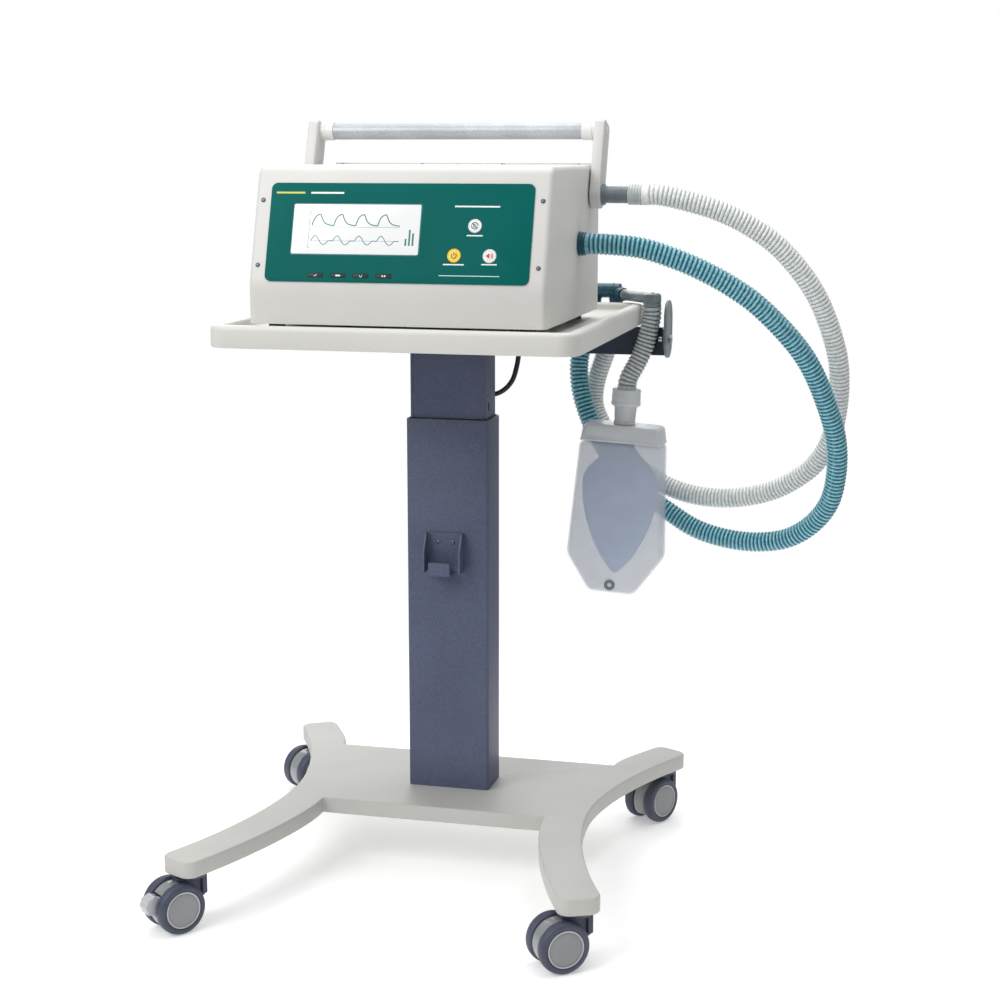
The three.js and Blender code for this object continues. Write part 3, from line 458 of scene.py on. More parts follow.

# The darkest stop of each tubing ramp is painted shade in the rib valleys and the palest is a painted highlight on the
# crests; the stops between are the tube's own colour.
whiteTubing = hoseFinish(
    "whiteTubing", [(0.0, "#abb0b0"), (0.45, "#d2d6d5"), (0.8, "#eff1f0")], rough=0.34, streakAmount=0.35,
    clear=0.05,
)
tealTubing = hoseFinish(
    "tealTubing", [(0.0, "#0f4d5e"), (0.4, "#1f7d92"), (0.72, "#4f9fb2"), (0.95, "#9bcdd8")], rough=0.3,
    streakAmount=0.65, clear=0.05,
)
greyTubing = hoseFinish(
    "greyTubing", [(0.0, "#5d6365"), (0.45, "#8f9698"), (0.85, "#c3c8c9")], rough=0.34, streakAmount=0.5,
    clear=0.1,
)


def frostFinish(name, dark, light, **look):
    finish, tree, shader, place = startFinish(name, look["rough"], 0.0, 0.15)
    haze = noiseAt(tree, place, 26.0, 4.0)
    grain = noiseAt(tree, place, 1200.0, 2.0)
    base = rampOf(tree, haze, [(0.3, tone(dark)), (0.7, tone(light))])
    tree.links.new(base, shader.inputs["Base Color"])
    tree.links.new(
        spread(tree, grain, look["rough"] - 0.08, look["rough"] + 0.08), shader.inputs["Roughness"],
    )
    shader.inputs["Alpha"].default_value = look["alpha"]
    bumpOf(tree, shader, grain, 0.00006)
    return finish


shellFrost = frostFinish("shellFrost", "#cbd0d8", "#d5d9e0", rough=0.42, alpha=0.36)
capFrost = frostFinish("capFrost", "#c6cace", "#d4d8dc", rough=0.38, alpha=0.9)
bagFinish = mouldedFinish("bagFinish", "#7ba3d5", "#8cb3e2", rough=0.6, cloud=24.0, grain=600.0, bump=0.0001)
print("finishes ready")


# Mesh makers
def newPiece(name, bm, finish, body, replaced=(), sharp=38):
    mesh = bpy.data.meshes.new(name)
    bm.normal_update()
    bm.to_mesh(mesh)
    bm.free()
    piece = bpy.data.objects.new(name, mesh)
    scene.collection.objects.link(piece)
    dress(piece, finish, sharp)
    if body:
        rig.ride(piece, body)
    if replaced:
        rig.replaces(piece, *replaced)
    return piece


def dress(piece, finish, sharp=38):
    piece.data.materials.clear()
    piece.data.materials.append(finish)
    piece.data.polygons.foreach_set("use_smooth", [True] * len(piece.data.polygons))
    piece.data.set_sharp_from_angle(angle=math.radians(sharp))


def loft(bm, rings, caps=(True, True)):
    rows = [[bm.verts.new(point) for point in ring] for ring in rings]
    for lower, upper in zip(rows, rows[1:]):
        count = len(lower)
        for i in range(count):
            j = (i + 1) % count
            bm.faces.new((lower[i], lower[j], upper[j], upper[i]))
    if caps[0]:
        bm.faces.new(list(reversed(rows[0])))
    if caps[1]:
        bm.faces.new(rows[-1])
    return rows


def closeLoop(bm, rows):
    # Joins the last ring to the first, for a tube with a thick wall
    count = len(rows[0])
    for i in range(count):
        j = (i + 1) % count
        bm.faces.new((rows[-1][i], rows[-1][j], rows[0][j], rows[0][i]))


def axesAlong(way):
    way = Vector(way).normalized()
    side = way.cross(Vector((0, 0, 1)))
    if side.length < 0.05:
        side = Vector((1, 0, 0))
    side.normalize()
    return side, way.cross(side), way


def turn(bm, start, way, profile, sides=40, caps=(True, True)):
    # profile: pairs of (distance along, radius) in mm
    side, other, way = axesAlong(way)
    rings = []
    for along, radius in profile:
        centre = Vector(start) + way * along / 1000
        ring = []
        for i in range(sides):
            angle = 2 * math.pi * i / sides
            ring.append(centre + (side * math.cos(angle) + other * math.sin(angle)) * radius / 1000)
        rings.append(ring)
    return loft(bm, rings, caps)


def turnedPiece(name, start, way, profile, finish, body, replaced=(), sharp=35, sides=44, caps=(True, True)):
    bm = bmesh.new()
    turn(bm, start, way, profile, sides, caps)
    outward(bm)
    return newPiece(name, bm, finish, body, replaced, sharp)


def upright(x, z, y):
    # For shapes drawn on the back panel, across and up, then pushed back
    return at(x, y, z)


def roundedRing(halfX, halfY, radius, steps=8, cx=0.0, cy=0.0):
    ring = []
    for sx, sy, start in ((1, -1, -90), (1, 1, 0), (-1, 1, 90), (-1, -1, 180)):
        for i in range(steps + 1):
            angle = math.radians(start + 90 * i / steps)
            x = cx + sx * (halfX - radius) + radius * math.cos(angle)
            y = cy + sy * (halfY - radius) + radius * math.sin(angle)
            ring.append((x, y))
    return ring


def bevelSharp(bm, width, segments=3, angle=50):
    edges = [e for e in bm.edges if len(e.link_faces) == 2 and e.calc_face_angle(0) > math.radians(angle)]
    if edges:
        bmesh.ops.bevel(
            bm, geom=edges, offset=width / 1000, segments=segments, profile=0.5, affect="EDGES",
            clamp_overlap=True,
        )


def outward(bm):
    bmesh.ops.recalc_face_normals(bm, faces=bm.faces[:])


def lofted(rings, hollow=False):
    bm = bmesh.new()
    rows = loft(bm, rings, (not hollow, not hollow))
    if hollow:
        closeLoop(bm, rows)
    outward(bm)
    return bm


def stack(profile, outlineOf, place=at):
    # One ring for each (inset, height) of a profile
    return [[place(x, y, z) for x, y in outlineOf(inset)] for inset, z in profile]


def prism(outline, place, low, high, edge=0.0, segments=3, angle=50):
    # An outline in mm raised from low to high in the frame that place() gives
    bm = lofted([[place(x, y, z) for x, y in outline] for z in (low, high)])
    if edge:
        bevelSharp(bm, edge, segments, angle)
    return bm


def join(bm, other):
    mesh = bpy.data.meshes.new("part")
    other.to_mesh(mesh)
    other.free()
    bm.from_mesh(mesh)
    bpy.data.meshes.remove(mesh)
    return bm


def settle(piece):
    # Applies the piece's modifiers to its mesh.
    bpy.context.view_layer.update()
    made = piece.evaluated_get(bpy.context.evaluated_depsgraph_get())
    mesh = bpy.data.meshes.new_from_object(made)
    piece.modifiers.clear()
    piece.data = mesh


def carve(piece, cutters):
    holders = []
    for cutter in cutters:
        mesh = bpy.data.meshes.new("cutter")
        outward(cutter)
        cutter.to_mesh(mesh)
        cutter.free()
        holder = bpy.data.objects.new("cutter", mesh)
        scene.collection.objects.link(holder)
        holders.append(holder)
        boolean = piece.modifiers.new("cut", "BOOLEAN")
        boolean.operation = "DIFFERENCE"
        boolean.solver = "EXACT"
        boolean.object = holder
    settle(piece)
    for holder in holders:
        bpy.data.objects.remove(holder)


def rodCutter(start, way, length, radius, sides=40):
    bm = bmesh.new()
    turn(bm, start, way, [(0, radius), (length, radius)], sides)
    return bm


def finishNode(name, finish, width=0.0, segments=2):
    # The node keeps its shape, takes a finish and gets a small rounding where it has sheet edges
    node = nodes[name]
    weld = node.modifiers.new("weld", "WELD")
    weld.merge_threshold = 0.00002
    if width:
        bevel = node.modifiers.new("edge", "BEVEL")
        bevel.width = width / 1000
        bevel.segments = segments
        bevel.limit_method = "ANGLE"
        bevel.angle_limit = math.radians(38)
    dress(node, finish, 38)
    evenFaces = node.modifiers.new("even faces", "WEIGHTED_NORMAL")
    evenFaces.weight = 100
    evenFaces.keep_sharp = True


# Routes: centripetal curves through a few points
def curveThrough(points, step):
    points = [Vector(p) for p in points]
    line = [points[0] * 2 - points[1], *points, points[-1] * 2 - points[-2]]
    samples = []
    for i in range(1, len(line) - 2):
        p0, p1, p2, p3 = line[i - 1:i + 3]
        t1 = (p1 - p0).length ** 0.5
        t2 = t1 + (p2 - p1).length ** 0.5
        t3 = t2 + (p3 - p2).length ** 0.5
        for j in range(24):
            t = t1 + (t2 - t1) * j / 24
            a1 = p0.lerp(p1, t / t1)
            a2 = p1.lerp(p2, (t - t1) / (t2 - t1))
            a3 = p2.lerp(p3, (t - t2) / (t3 - t2))
            b1 = a1.lerp(a2, t / t2)
            b2 = a2.lerp(a3, (t - t1) / (t3 - t1))
            samples.append(b1.lerp(b2, (t - t1) / (t2 - t1)))
    samples.append(points[-1])
    lengths = [0.0]
    for before, after in zip(samples, samples[1:]):
        lengths.append(lengths[-1] + (after - before).length)
    count = max(2, round(lengths[-1] / step))
    even = []
    k = 0
    for i in range(count + 1):
        goal = lengths[-1] * i / count
        while k < len(lengths) - 2 and lengths[k + 1] < goal:
            k += 1
        part = (goal - lengths[k]) / max(lengths[k + 1] - lengths[k], 1e-9)
        even.append(samples[k].lerp(samples[k + 1], min(1, max(0, part))))
    return even, lengths[-1]


def ringsAlong(path, radii, sides):
    way = (path[1] - path[0]).normalized()
    side = axesAlong(way)[0]
    rings = []
    for i, (centre, radius) in enumerate(zip(path, radii)):
        ahead = path[min(i + 1, len(path) - 1)]
        behind = path[max(i - 1, 0)]
        way = (ahead - behind).normalized()
        side = (side - way * side.dot(way)).normalized()
        other = way.cross(side)
        angles = [2 * math.pi * k / sides for k in range(sides)]
        rings.append([centre + (side * math.cos(a) + other * math.sin(a)) * radius for a in angles])
    return rings


def corrugated(name, route, look, finish, body, replaced):
    per = 4
    path, length = curveThrough(route, look["pitch"] / per)
    radii = []
    heights = []
    smooth = int(look["plain"] / look["pitch"] * per)
    wave = [0.0, 0.72, 1.0, 0.72]
    for i in range(len(path)):
        height = wave[i % per]
        if i < smooth or i > len(path) - 1 - smooth:
            height = 0.82
        heights.append(height)
        radii.append(look["radius"] - look["depth"] * (1 - height))
    bm = bmesh.new()
    # Each ring's rib height is kept on its vertices; the hose finish uses it to paint shade in the valleys and
    # highlights on the crests.
    ribShade = bm.verts.layers.float.new("ribShade")
    rows = loft(bm, ringsAlong(path, radii, look["sides"]))
    for row, height in zip(rows, heights):
        for vert in row:
            vert[ribShade] = height
    outward(bm)
    piece = newPiece(name, bm, finish, body, replaced, 80)
    print(name, "length", round(length, 4))
    return piece, path, length


# Breathing circuit
ports = {"upper": (92, 1052), "lower": (11, 982)}  # y and z of the two gas ports
whiteHose = {"radius": 0.016, "depth": 0.0021, "pitch": 0.0063, "plain": 0.009, "sides": 22}
whiteRoute = [
    (297.6, 92, 1052), (322, 92, 1052), (368, 97, 1042), (413, 104, 1028), (457, 114, 1006),
    (501, 128, 973), (553, 154, 905), (585, 186, 816), (590, 203, 768), (587, 220, 719),
    (576, 238, 669), (553, 254, 628), (521, 268, 599), (480, 282, 575), (422, 296, 559),
    (363, 308, 557), (311, 318, 568), (267, 328, 590), (225, 339, 622), (192, 346, 662),
    (176, 349, 700), (179, 348, 738), (192, 342, 776), (206, 332, 812), (215, 322, 843.4),
    (216, 322, 861.4),
]
tealHose = {"radius": 0.016, "depth": 0.0023, "pitch": 0.0066, "plain": 0.008, "sides": 22}
tealRoute = [
    (228.6, 11, 982), (254, 11, 982), (308, 15, 977), (352, 21, 964), (395, 30, 946),
    (438, 42, 922), (481, 57, 890), (546, 95, 813), (582, 140, 722), (592, 163, 673),
    (591, 186, 622), (580, 207, 574), (553, 226, 535), (514, 243, 507), (464, 258, 495),
    (410, 271, 496), (359, 282, 508), (312, 292, 533), (264, 299, 564), (224, 303, 602),
    (194, 305, 644), (174, 307, 685), (160, 312, 728), (156, 318, 772), (163, 321, 808),
    (179, 322, 843.4), (180, 322, 861.4),
]
limb = {"radius": 0.0155, "depth": 0.0022, "pitch": 0.0062, "plain": 0.006, "sides": 24}
limbRoute = [
    (289.5, 240, 871.4), (289.5, 240, 858), (286, 239.5, 838), (278, 238.5, 808), (267, 236, 782),
    (256, 233, 761), (252.5, 232, 749), (252, 232, 741.6),
]
cable = {"radius": 0.004, "sides": 16}
cableRoute = [
    (88, 182, 857.7), (88, 182, 835), (87, 178, 805), (84, 172, 777), (78, 166, 756), (65, 160, 741),
    (50, 156, 735), (34, 154, 738), (18, 152, 751), (6, 148, 770), (1, 139, 785), (0, 127, 790),
    (0, 116, 790),
]


def placed(route):
    return [at(*point) for point in route]


whiteLine, whitePath, whiteLength = corrugated(
    "white_limb_hose", placed(whiteRoute), whiteHose, whiteTubing, "lift", ("hose_white",),
)
tealLine, tealPath, tealLength = corrugated(
    "teal_limb_hose", placed(tealRoute), tealHose, tealTubing, "lift", ("hose_teal",),
)
limbLine = corrugated("patient_limb_hose", placed(limbRoute), limb, greyTubing, "lift", ("patient_limb",))[0]

cablePath, cableLength = curveThrough(placed(cableRoute), 0.005)
cableMesh = lofted(ringsAlong(cablePath, [cable["radius"]] * len(cablePath), cable["sides"]))
columnCable = newPiece("column_lead", cableMesh, cableFinish, "lift", ("column_cable",), 60)
print("column_lead length", round(cableLength, 4))

# Wye piece, elbow and cuffs
wye = {"hub": (216, 322, 886), "headerZ": 891, "legs": (180, 216), "elbow": (289.5, 240, 886)}
hub = at(*wye["hub"])
elbowPlace = at(*wye["elbow"])
elbowWay = (elbowPlace - hub).normalized()
wyeMesh = bmesh.new()
headerProfile = [
    (0, 8.5), (0.7, 10.6), (2.2, 12), (12, 12), (12.6, 12.6), (15, 12.6), (15.6, 12), (41, 12),
    (41.6, 12.6), (44, 12.6), (44.6, 12), (53.5, 12), (55, 10.8), (55.8, 8.5),
]
turn(wyeMesh, at(wye["legs"][0] - 11, 322, wye["headerZ"]), (1, 0, 0), headerProfile, 32)
legProfile = [
    (0, 11), (12, 11), (12.5, 11.8), (14.5, 11.8), (15, 11), (23, 11), (23.5, 12.2), (28.4, 12.2),
    (29, 11.4), (29, 8),
]
for legX in wye["legs"]:
    turn(wyeMesh, at(legX, 322, wye["headerZ"]), (0, 0, -1), legProfile, 32)
turn(
    wyeMesh, hub, elbowWay,
    [(0, 10.8), (14, 10.8), (14.6, 11.4), (17, 11.4), (17.6, 10.8), (23.4, 10.8), (24, 10.2), (24, 7.6)],
    32,
)
wyeFitting = newPiece("wye_fitting", wyeMesh, tealTubing, "lift", ("wye_piece",))

elbowMesh = bmesh.new()
turn(
    elbowMesh, hub + elbowWay * 0.026, elbowWay,
    [(0, 8.2), (0.5, 9.2), (4, 9.2), (5, 8.6), (8, 8.6), (9, 9.2), (86, 9.2)], 32,
)
elbowCollar = [
    (0, 12), (0, 14.2), (0.5, 14.6), (4, 14.6), (4.6, 14), (7.4, 14), (8, 14.6), (17, 14.6), (20, 13.6),
    (21.6, 11), (22, 7),
]
turn(elbowMesh, at(289.5, 240, 872), (0, 0, 1), elbowCollar, 36)
elbowFitting = newPiece("elbow_fitting", elbowMesh, portFinish, "lift", ("patient_elbow",))

cuffMesh = bmesh.new()
upperProfile = [(0, 11.6), (0, 14.6), (0.6, 15.3)]
for i in range(4):
    start = 2.2 + i * 4.2
    upperProfile += [(start, 15.4), (start + 0.7, 14.2), (start + 2.2, 14.2), (start + 2.9, 15.4)]
upperProfile += [(20, 15.3), (20.6, 14.4), (20.6, 11.6)]
turn(cuffMesh, at(276.4, *ports["upper"]), (1, 0, 0), upperProfile, 40)
upperCuff = newPiece("upper_cuff", cuffMesh, clearCuff, "lift", ("cuff_upper",))
cuffMesh = bmesh.new()
lowerProfile = [
    (0, 11.6), (0, 17.6), (0.5, 18), (2.2, 18), (2.8, 16.6), (4.0, 16.6), (4.6, 17.6), (6.2, 17.6),
    (6.8, 16.4), (8.0, 16.4), (8.6, 17.2), (9.6, 17.0), (10.1, 16.0), (10.1, 11.6),
]
turn(cuffMesh, at(217.9, *ports["lower"]), (1, 0, 0), lowerProfile, 40)
lowerCuff = newPiece("lower_cuff", cuffMesh, tealTubing, "lift", ("cuff_lower",))

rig.cord(
    whiteLine, exit=whitePath[0], length=whiteLength, diameter=0.032, far_end="fitting",
    stiffness="medium", lay="hanging", path=whitePath[::4],
    with_pieces=[upperCuff, wyeFitting, elbowFitting, limbLine],
)
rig.cord(
    tealLine, exit=tealPath[0], length=tealLength, diameter=0.032, far_end="fitting", stiffness="medium",
    lay="hanging", path=tealPath[::4], with_pieces=[lowerCuff, wyeFitting],
)
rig.cord(
    columnCable, exit=cablePath[0], length=cableLength, diameter=0.008, far_end="object",
    stiffness="medium", lay="hanging", path=cablePath,
)

bootMesh = bmesh.new()
bootProfile = [
    (-2, 6.6), (0, 6.6), (1.2, 6.4), (2.0, 5.4), (4.4, 5.6), (5.2, 4.9), (7.4, 5.2), (8.2, 4.6),
    (10.4, 4.9), (11.2, 4.4), (15, 4.3),
]
turn(bootMesh, at(0, 131.2, 787.5), (0.03, 0.76, -0.2), bootProfile, 24)
newPiece("cable_boot", bootMesh, rubberFinish, "lift")
print("breathing circuit ready")

# Base casting: a plate between two bowed members that end in four blunt feet
base = {
    "top": 108, "thick": 25, "plateFront": -36, "plateBack": 235, "frontNotch": 180, "rearNotch": 237,
    "waist": (242, 5), "frontFoot": (288, -316), "rearFoot": (306, 316), "foot": 31, "corner": 18,
    "edge": 2.6,
}


def bend(start, first, second, end, count=18):
    points = []
    for i in range(1, count + 1):
        t = i / count
        weights = ((1 - t) ** 3, 3 * t * (1 - t) ** 2, 3 * t * t * (1 - t), t ** 3)
        weighted = (Vector(p) * w for p, w in zip((start, first, second, end), weights))
        points.append(sum(weighted, Vector((0, 0))))
    return points


def bluntEnd(foot, way):
    points = []
    inset = base["foot"] - base["corner"]
    across = Vector((-way.y, way.x))
    for side in (-1, 1):
        centre = foot + way * inset + across * side * inset
        start = math.atan2(way.y, way.x) - (math.pi / 2 if side < 0 else 0)
        for i in range(9):
            angle = start + math.pi / 2 * i / 8
            points.append(centre + Vector((math.cos(angle), math.sin(angle))) * base["corner"])
    return points


def baseOutline():
    frontWay = Vector((0.42, -0.907)).normalized()
    rearWay = Vector((0.5, 0.866)).normalized()
    frontFoot = Vector(base["frontFoot"])
    rearFoot = Vector(base["rearFoot"])
    frontAcross = Vector((-frontWay.y, frontWay.x)) * base["foot"]
    rearAcross = Vector((-rearWay.y, rearWay.x)) * base["foot"]
    notch = Vector((base["frontNotch"], base["plateFront"]))
    middle = Vector(base["waist"])
    corner = Vector((base["rearNotch"], base["plateBack"]))
    frontInner = frontFoot - frontAcross
    frontOuter = frontFoot + frontAcross
    rearOuter = rearFoot - rearAcross
    rearInner = rearFoot + rearAcross
    half = [notch]
    half += bend(notch, Vector((base["frontNotch"] - 2, -115)), frontInner - frontWay * 90, frontInner)
    half += bluntEnd(frontFoot, frontWay)
    half += bend(frontOuter, frontOuter - frontWay * 110, middle - Vector((0, 90)), middle)
    half += bend(middle, middle + Vector((0, 90)), rearOuter - rearWay * 95, rearOuter)
    half += bluntEnd(rearFoot, rearWay)
    half += bend(
        rearInner, rearInner - rearWay * 45, Vector((base["rearNotch"], base["plateBack"] + 25)), corner,
    )
    clean = [half[0]]
    for point in half[1:]:
        if (point - clean[-1]).length > 1.2:
            clean.append(point)
    return [(p.x, p.y) for p in clean] + [(-p.x, p.y) for p in reversed(clean)]


baseMesh = prism(baseOutline(), at, base["top"] - base["thick"], base["top"], base["edge"], 5)
baseCasting = newPiece("base_casting", baseMesh, castCoat, "trolley", ("base_frame",), 60)
stemHoles = []
for name in corners:
    pivot = Vector(joints["caster_" + name + "_swivel"]["pos_m"])
    stemHoles.append(rodCutter((pivot.x, pivot.y, 0.082), (0, 0, 1), 19, 6.4, 24))
carve(baseCasting, stemHoles)
dress(baseCasting, castCoat, 60)
print("base ready")

# Column: outer and inner tubes, seam trim and fixings
column = {
    "y": 96, "outer": (132, 75), "inner": (122, 65), "outerTop": 706, "outerLow": 108.4,
    "innerTop": 851.1, "innerLow": 330, "wall": 2.5, "corner": 5,
}


def tube(size, low, high, floorThick):
    halfX, halfY = size[0] / 2, size[1] / 2
    wall = column["wall"]
    steps = [
        (0, low), (0, high - 0.8), (0.25, high - 0.2), (0.8, high), (wall - 0.5, high),
        (wall, high - 0.5), (wall, low + floorThick),
    ]
    if not floorThick:
        steps = [
            (0.8, low), (0, low + 0.8), (0, high - 0.8), (0.8, high), (wall - 0.5, high),
            (wall, high - 0.5), (wall, low + 0.6), (wall - 0.5, low),
        ]

    def outlineOf(inset):
        return roundedRing(
            halfX - inset, halfY - inset, max(column["corner"] - inset, 2.4), 6, 0, column["y"],
        )

    return lofted(stack(steps, outlineOf), not floorThick)


newPiece(
    "column_lower_tube", tube(column["outer"], column["outerLow"], column["outerTop"], 8), slateCoat,
    "trolley", ("column_outer_tube",), 30,
)
innerTube = newPiece(
    "column_upper_tube", tube(column["inner"], column["innerLow"], column["innerTop"], 0), slateCoat,
    "lift", ("column_inner_tube",), 30,
)
ovalHole = bmesh.new()
ovalRing = []
for i in range(28):
    angle = 2 * math.pi * i / 28
    ovalRing.append((4.6 * math.cos(angle), 7.5 * math.sin(angle)))
loft(ovalHole, [[at(x, 84 + u, 725 + v) for u, v in ovalRing] for x in (50, 70)])
foldGroove = {"x": -55, "half": 0.7, "deep": 0.8, "low": 340, "high": 846}
foldLine = prism(
    roundedRing(foldGroove["half"], foldGroove["deep"], 0.3, 3, foldGroove["x"], 63.5), at,
    foldGroove["low"], foldGroove["high"],
)
carve(innerTube, [
    foldLine,
    ovalHole,
    rodCutter(at(50, 77.5, 743), (1, 0, 0), 20, 2.0, 20),
    rodCutter(at(50, 91, 743), (1, 0, 0), 20, 2.0, 20),
    rodCutter(at(0, 100, 790), (0, 1, 0), 40, 5.5, 24),
])
dress(innerTube, slateCoat, 30)


def sealOutline(inset):
    return roundedRing(66 - inset, 37.5 - inset, 3.4, 6, 0, column["y"])


sealRings = stack(((3.2, 704.6), (2.9, 706.6), (3.4, 707.4), (4.6, 707.4)), sealOutline)
newPiece("column_wiper_seal", lofted(sealRings, True), darkFinish, "trolley", (), 40)

finishNode("column_glide_ring", darkFinish)
finishNode("gas_spring_cylinder", blackPaint)
finishNode("gas_spring_rod", zincSteel)
finishNode("lead_hook", slateCoat, 0.7, 3)


# Screws: a domed head with a cross recess
def crossCutters(place, way, radius, proud):
    side, other, way = axesAlong(way)
    cutters = []
    for first, second in ((side, other), (other, side)):
        bm = bmesh.new()
        ring = []
        for sx, sy in ((-1, -1), (1, -1), (1, 1), (-1, 1)):
            ring.append(first * sx * radius * 0.62 + second * sy * radius * 0.13)
        loft(
            bm,
            [[Vector(place) + r / 1000 + way * a / 1000 for r in ring] for a in (proud * 0.4, proud + 1)],
        )
        cutters.append(bm)
    return cutters


def addScrew(name, place, way, radius, proud, body):
    low, high = proud * 0.35, proud * 0.75
    profile = [
        (0, radius), (low, radius), (high, radius * 0.82), (proud, radius * 0.5), (proud, radius * 0.2),
    ]
    screw = turnedPiece(name, place, way, profile, screwFinish, body, sharp=38, sides=20)
    carve(screw, crossCutters(place, way, radius, proud))
    dress(screw, screwFinish, 35)


for end, x in (("left", -14), ("right", 10)):
    addScrew("hook_screw_" + end, at(x, 55.7, 512), (0, -1, 0), 3.2, 1.6, "trolley")
print("column ready")

# Tray: a raised round rim round a recessed floor
tray = {"halfX": 270.5, "front": -249, "back": 297, "corner": 30}
trayProfile = [
    (23, 858), (17, 858), (16, 857.2), (16, 843), (15.2, 842), (12.2, 842), (11.6, 842.8),
    (11.6, 865.5), (5, 865.5), (4.4, 842.8), (3.8, 842), (1.6, 842), (0.5, 842.6), (0, 844),
    (0, 867), (0.5, 869.8), (1.8, 872), (3.6, 873.4), (6, 874), (14.6, 874), (17, 873.5),
    (18.8, 872.2), (20, 870.2), (21, 866.4), (21.7, 864.2), (23, 862.8), (25.4, 862),
]
trayMiddleY = (tray["front"] + tray["back"]) / 2
trayHalfY = (tray["back"] - tray["front"]) / 2


def trayOutline(inset):
    corner = max(tray["corner"] - inset, 7)
    return roundedRing(tray["halfX"] - inset, trayHalfY - inset, corner, 12, 0, trayMiddleY)


newPiece("tray_moulding", lofted(stack(trayProfile, trayOutline)), trayCoat, "lift", ("tray",), 40)
finishNode("tray_support_plate", navyCoat, 0.8)
finishNode("hose_arm", navyCoat, 0.8, 3)
finishNode("hose_arm_bolt", zincSteel, 0.4)

# Hose arm guard: an oval end cap with turned-over rims
guard = {"x": 312.3, "y": 246, "z": 837, "halfY": 30, "halfZ": 46}
guardProfile = [
    (3, 0), (0.8, 0.2), (0, 1.0), (0.0, 1.6), (1.0, 2.0), (1.0, 2.5), (0, 2.9), (0, 4.2), (0.8, 5.0),
    (3.0, 5.0), (4.2, 4.4), (6.0, 4.4), (7.2, 5.0), (9.5, 5.0), (11, 4.2),
]


def guardOutline(inset):
    return roundedRing(guard["halfY"] - inset, guard["halfZ"] - inset, 29 - inset, 12, guard["y"], guard["z"])


def onGuard(y, z, along):
    return at(guard["x"] + along, y, z)


guardMesh = lofted(stack(guardProfile, guardOutline, onGuard))
guardPiece = newPiece("hose_arm_end_cap", guardMesh, portFinish, "lift", ("hose_arm_guard",), 35)
carve(guardPiece, [rodCutter(at(300, 246, 820), (1, 0, 0), 30, 4.3, 24)])
dress(guardPiece, portFinish, 35)
print("tray and arm ready")

# Ventilator hood: flat sides with rounded edges and a leaning front
case = {
    "half": 217.5, "front": -210, "back": 156, "low": 874.6, "top": 1096, "slopeZ": 932.6, "run": 51,
    "wall": 4,
}
lean = math.atan2(case["run"], case["top"] - case["slopeZ"])
panelOrigin = Vector((0, case["front"], case["slopeZ"]))
panelUp = Vector((0, math.sin(lean), math.cos(lean)))
panelOut = Vector((0, -math.cos(lean), math.sin(lean)))


def onPanel(u, v, w=0.0):
    point = panelOrigin + Vector((1, 0, 0)) * u + panelUp * v + panelOut * w
    return at(point.x, point.y, point.z)


sideLine = [
    (case["back"], case["low"]), (case["back"], case["top"]), (case["front"] + case["run"], case["top"]),
    (case["front"], case["slopeZ"]), (case["front"], case["low"]),
]
hoodMesh = lofted([[at(x, y, z) for y, z in sideLine] for x in (-case["half"], case["half"])])


def edgesWhere(bm, test):
    return [e for e in bm.edges if test((e.verts[0].co - home) * 1000, (e.verts[1].co - home) * 1000)]


def near(a, b):
    return abs(a - b) < 0.5


def across(a, b, z):
    return near(a.z, z) and near(b.z, z) and abs(a.x - b.x) > 10


topFront = edgesWhere(hoodMesh, lambda a, b: across(a, b, case["top"]) and a.y < 0 and b.y < 0)
bmesh.ops.bevel(hoodMesh, geom=topFront, offset=0.012, segments=6, profile=0.5, affect="EDGES")
sills = edgesWhere(hoodMesh, lambda a, b: across(a, b, case["slopeZ"]))
bmesh.ops.bevel(hoodMesh, geom=sills, offset=0.010, segments=3, profile=0.5, affect="EDGES")


def sideEdge(a, b):
    foot = near(a.z, case["low"]) and near(b.z, case["low"])
    rear = near(a.y, case["back"]) and near(b.y, case["back"])
    return near(a.x, b.x) and near(abs(a.x), case["half"]) and not foot and not rear


sides = edgesWhere(hoodMesh, sideEdge)
bmesh.ops.bevel(hoodMesh, geom=sides, offset=0.008, segments=6, profile=0.5, affect="EDGES")
openFaces = [f for f in hoodMesh.faces if f.normal.z < -0.9 or f.normal.y > 0.9]
bmesh.ops.delete(hoodMesh, geom=openFaces, context="FACES_ONLY")
hood = newPiece("ventilator_hood", hoodMesh, caseCoat, "lift", ("case_hood",), 30)
thick = hood.modifiers.new("wall", "SOLIDIFY")
thick.thickness = case["wall"] / 1000
thick.offset = -1
settle(hood)

keys = {"mode": (111, 85.3), "standby": (84, 42.8), "mute": (135, 42.8)}
screen = {"left": -158, "right": 33, "low": 41.3, "high": 116.7}
tabs = [-117, -83.4, -49.7, -16]


def panelCutter(outline, low, high):
    return prism(outline, onPanel, low, high)


def discLine(u, v, radius, sides=40):
    return [
        (u + radius * math.cos(2 * math.pi * i / sides), v + radius * math.sin(2 * math.pi * i / sides))
        for i in range(sides)
    ]


screenMiddle = ((screen["left"] + screen["right"]) / 2, (screen["low"] + screen["high"]) / 2)
screenHalf = ((screen["right"] - screen["left"]) / 2, (screen["high"] - screen["low"]) / 2)
hoodCuts = [panelCutter(discLine(u, v, 10.4), -12, 8) for u, v in keys.values()]
hoodCuts.append(panelCutter(roundedRing(screenHalf[0] - 4, screenHalf[1] - 4, 1, 3, *screenMiddle), -14, 8))
hoodCuts.append(panelCutter(roundedRing(63.1, 3.2, 0.5, 3, -66.5, 12), -14, 8))
hoodCuts.append(rodCutter(at(200, *ports["upper"]), (1, 0, 0), 40, 13.1))
hoodCuts.append(rodCutter(at(200, *ports["lower"]), (1, 0, 0), 40, 11.3))
hoodCuts.append(rodCutter(at(-240, *ports["upper"]), (1, 0, 0), 40, 6.3))
carve(hood, hoodCuts)
dress(hood, caseCoat, 30)

